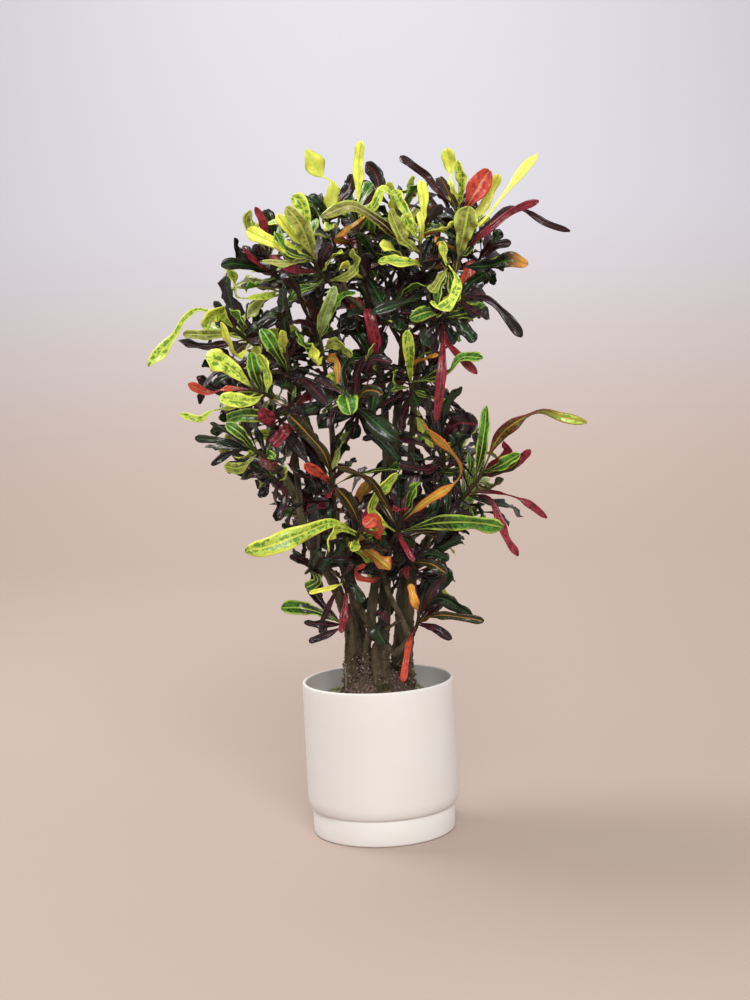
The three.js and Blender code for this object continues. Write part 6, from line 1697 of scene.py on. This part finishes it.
class CROTON_OT_leaves(PieceOperator, bpy.types.Operator):
    """Model each leafy shoot: its young stem and every leaf on it"""

    bl_idname = "croton.leaves"
    bl_label = "Leafy shoots"

    def execute(self, context):
        crown = context.scene.croton_crown
        stems, leaves = grown_plant()
        for number, leaf in enumerate(leaves):
            leaf["number"] = number
        foliage = leaf_material()
        young_bark = bark_material("young_bark", crown.young_bark, YOUNG_SHADE, 240, YOUNG_DUST)
        for stem in stems.values():
            if not stem["leafy"]:
                continue
            bm = start_mesh()
            for layer in LEAF_COLOURS:
                bm.verts.layers.float_color.new(layer)
            for leaf in leaves:
                if leaf["shoot"] == stem["name"]:
                    add_leaf(bm, leaf, *(SEEN_GRID if leaf["seen"] else FILLING_GRID))
            bmesh.ops.solidify(bm, geom=bm.faces[:], thickness=crown.blade)
            bmesh.ops.recalc_face_normals(bm, faces=bm.faces)
            self.add_young_stem(bm, stem)
            name = f"shoot_{stem['name']}"
            finish_piece(bm, f"croton_{name}", [foliage, young_bark], SLOT_OF[name], name)
        return {"FINISHED"}

    def add_young_stem(self, bm, stem):
        bends = stem["shoot_line"]
        line = even_line(bends, 4 * (len(bends) - 1) + 6)
        radii = np.full(len(line), stem["shoot_radius"])
        radii[-len(YOUNG_END) :] *= YOUNG_END
        for face in add_tube(bm, line * MM, radii * MM, 8):
            face.material_index = 1


class CROTON_OT_stage(PieceOperator, bpy.types.Operator):
    """Set the pale floor, the soft light and the camera of the photograph"""

    bl_idname = "croton.stage"
    bl_label = "Stage"

    def execute(self, context):
        scene = context.scene
        stage = scene.croton_stage
        self.add_floor(stage)
        scene.view_settings.view_transform = "Standard"
        for name, *placing in LIGHTS:
            self.add_light(name, *placing, getattr(stage, name))
        world = bpy.data.worlds.new("studio")
        world.use_nodes = True
        back = world.node_tree.nodes["Background"].inputs
        back["Color"].default_value = SKY_TINT
        back["Strength"].default_value = stage.sky
        scene.world = world
        self.add_camera(scene)
        return {"FINISHED"}

    def add_floor(self, stage):
        """A floor that sweeps up into a backdrop far behind the object."""
        bm = start_mesh()
        bmesh.ops.create_grid(bm, x_segments=1, y_segments=1, size=FLOOR_REACH)
        back_edge = [edge for edge in bm.edges if all(vert.co.y > 0 for vert in edge.verts)]
        raised = bmesh.ops.extrude_edge_only(bm, edges=back_edge)["geom"]
        top = [item for item in raised if isinstance(item, bmesh.types.BMVert)]
        bmesh.ops.translate(bm, vec=(0, 0, FLOOR_REACH), verts=top)
        sweep = {"offset": SWEEP, "segments": 24, "profile": 0.5, "affect": "EDGES"}
        bmesh.ops.bevel(bm, geom=back_edge, material=-1, **sweep)

        def base_colour(tree):
            ground = mixed(tree, speckle(tree, 2.2, 0.5, 0.9), stage.floor, tinted(stage.floor, 0.985))
            return mixed(tree, smooth_step(tree, height_in_object(tree), 0.0, 1.2), ground, stage.backdrop)

        floor = add_object(bm, "floor", [new_material("floor", base_colour, (5, 0.9, 0.05, 0.75))])

    def add_light(self, name, place, target, size, power):
        lamp = bpy.data.lights.new(name, "AREA")
        lamp.size = size
        lamp.energy = power
        lamp.color = LIGHT_TINT
        light = bpy.data.objects.new(name, lamp)
        aim = Vector(target) - Vector(place)
        light.rotation_euler = aim.to_track_quat("-Z", "Y").to_euler()
        light.location = place
        bpy.context.scene.collection.objects.link(light)

    def add_camera(self, scene):
        lens = bpy.data.cameras.new("photograph")
        lens.lens = VIEW_FOCAL * lens.sensor_width / PICTURE_HEIGHT
        camera = bpy.data.objects.new("photograph", lens)
        turn = Matrix((PICTURE_RIGHT, PICTURE_UP, -SIGHT)).transposed()
        camera.matrix_world = Matrix.Translation(CAMERA_AT * MM) @ turn.to_4x4()
        scene.collection.objects.link(camera)
        scene.camera = camera


class CROTON_PT_panel(bpy.types.Panel):
    """Lists the plant's settings and the operators that build its pieces"""

    bl_idname = "CROTON_PT_panel"
    bl_label = "Potted croton"
    bl_space_type = "VIEW_3D"
    bl_region_type = "UI"
    bl_category = "Croton"

    def draw(self, context):
        for name, _ in SETTINGS:
            box = self.layout.box()
            settings = getattr(context.scene, name)
            for key in settings.__annotations__:
                box.prop(settings, key)
        for operator in BUILD_ORDER:
            self.layout.operator(operator.bl_idname)


SETTINGS = [
    ("croton_pot", PotSettings),
    ("croton_soil", SoilSettings),
    ("croton_crown", CrownSettings),
    ("croton_palette", PaletteSettings),
    ("croton_stage", StageSettings),
]
BUILD_ORDER = [
    CROTON_OT_stage,
    CROTON_OT_pot,
    CROTON_OT_soil,
    CROTON_OT_top_dressing,
    CROTON_OT_stems,
    CROTON_OT_leaves,
]


def register():
    for name, settings in SETTINGS:
        bpy.utils.register_class(settings)
        setattr(bpy.types.Scene, name, PointerProperty(type=settings))
    for operator in BUILD_ORDER:
        bpy.utils.register_class(operator)
    bpy.utils.register_class(CROTON_PT_panel)


def unregister():
    bpy.utils.unregister_class(CROTON_PT_panel)
    for operator in reversed(BUILD_ORDER):
        bpy.utils.unregister_class(operator)
    for name, settings in reversed(SETTINGS):
        delattr(bpy.types.Scene, name)
        bpy.utils.unregister_class(settings)


def main():
    register()
    for operator in BUILD_ORDER:
        group, name = operator.bl_idname.split(".")
        getattr(getattr(bpy.ops, group), name)()


if __name__ == "__main__":
    main()
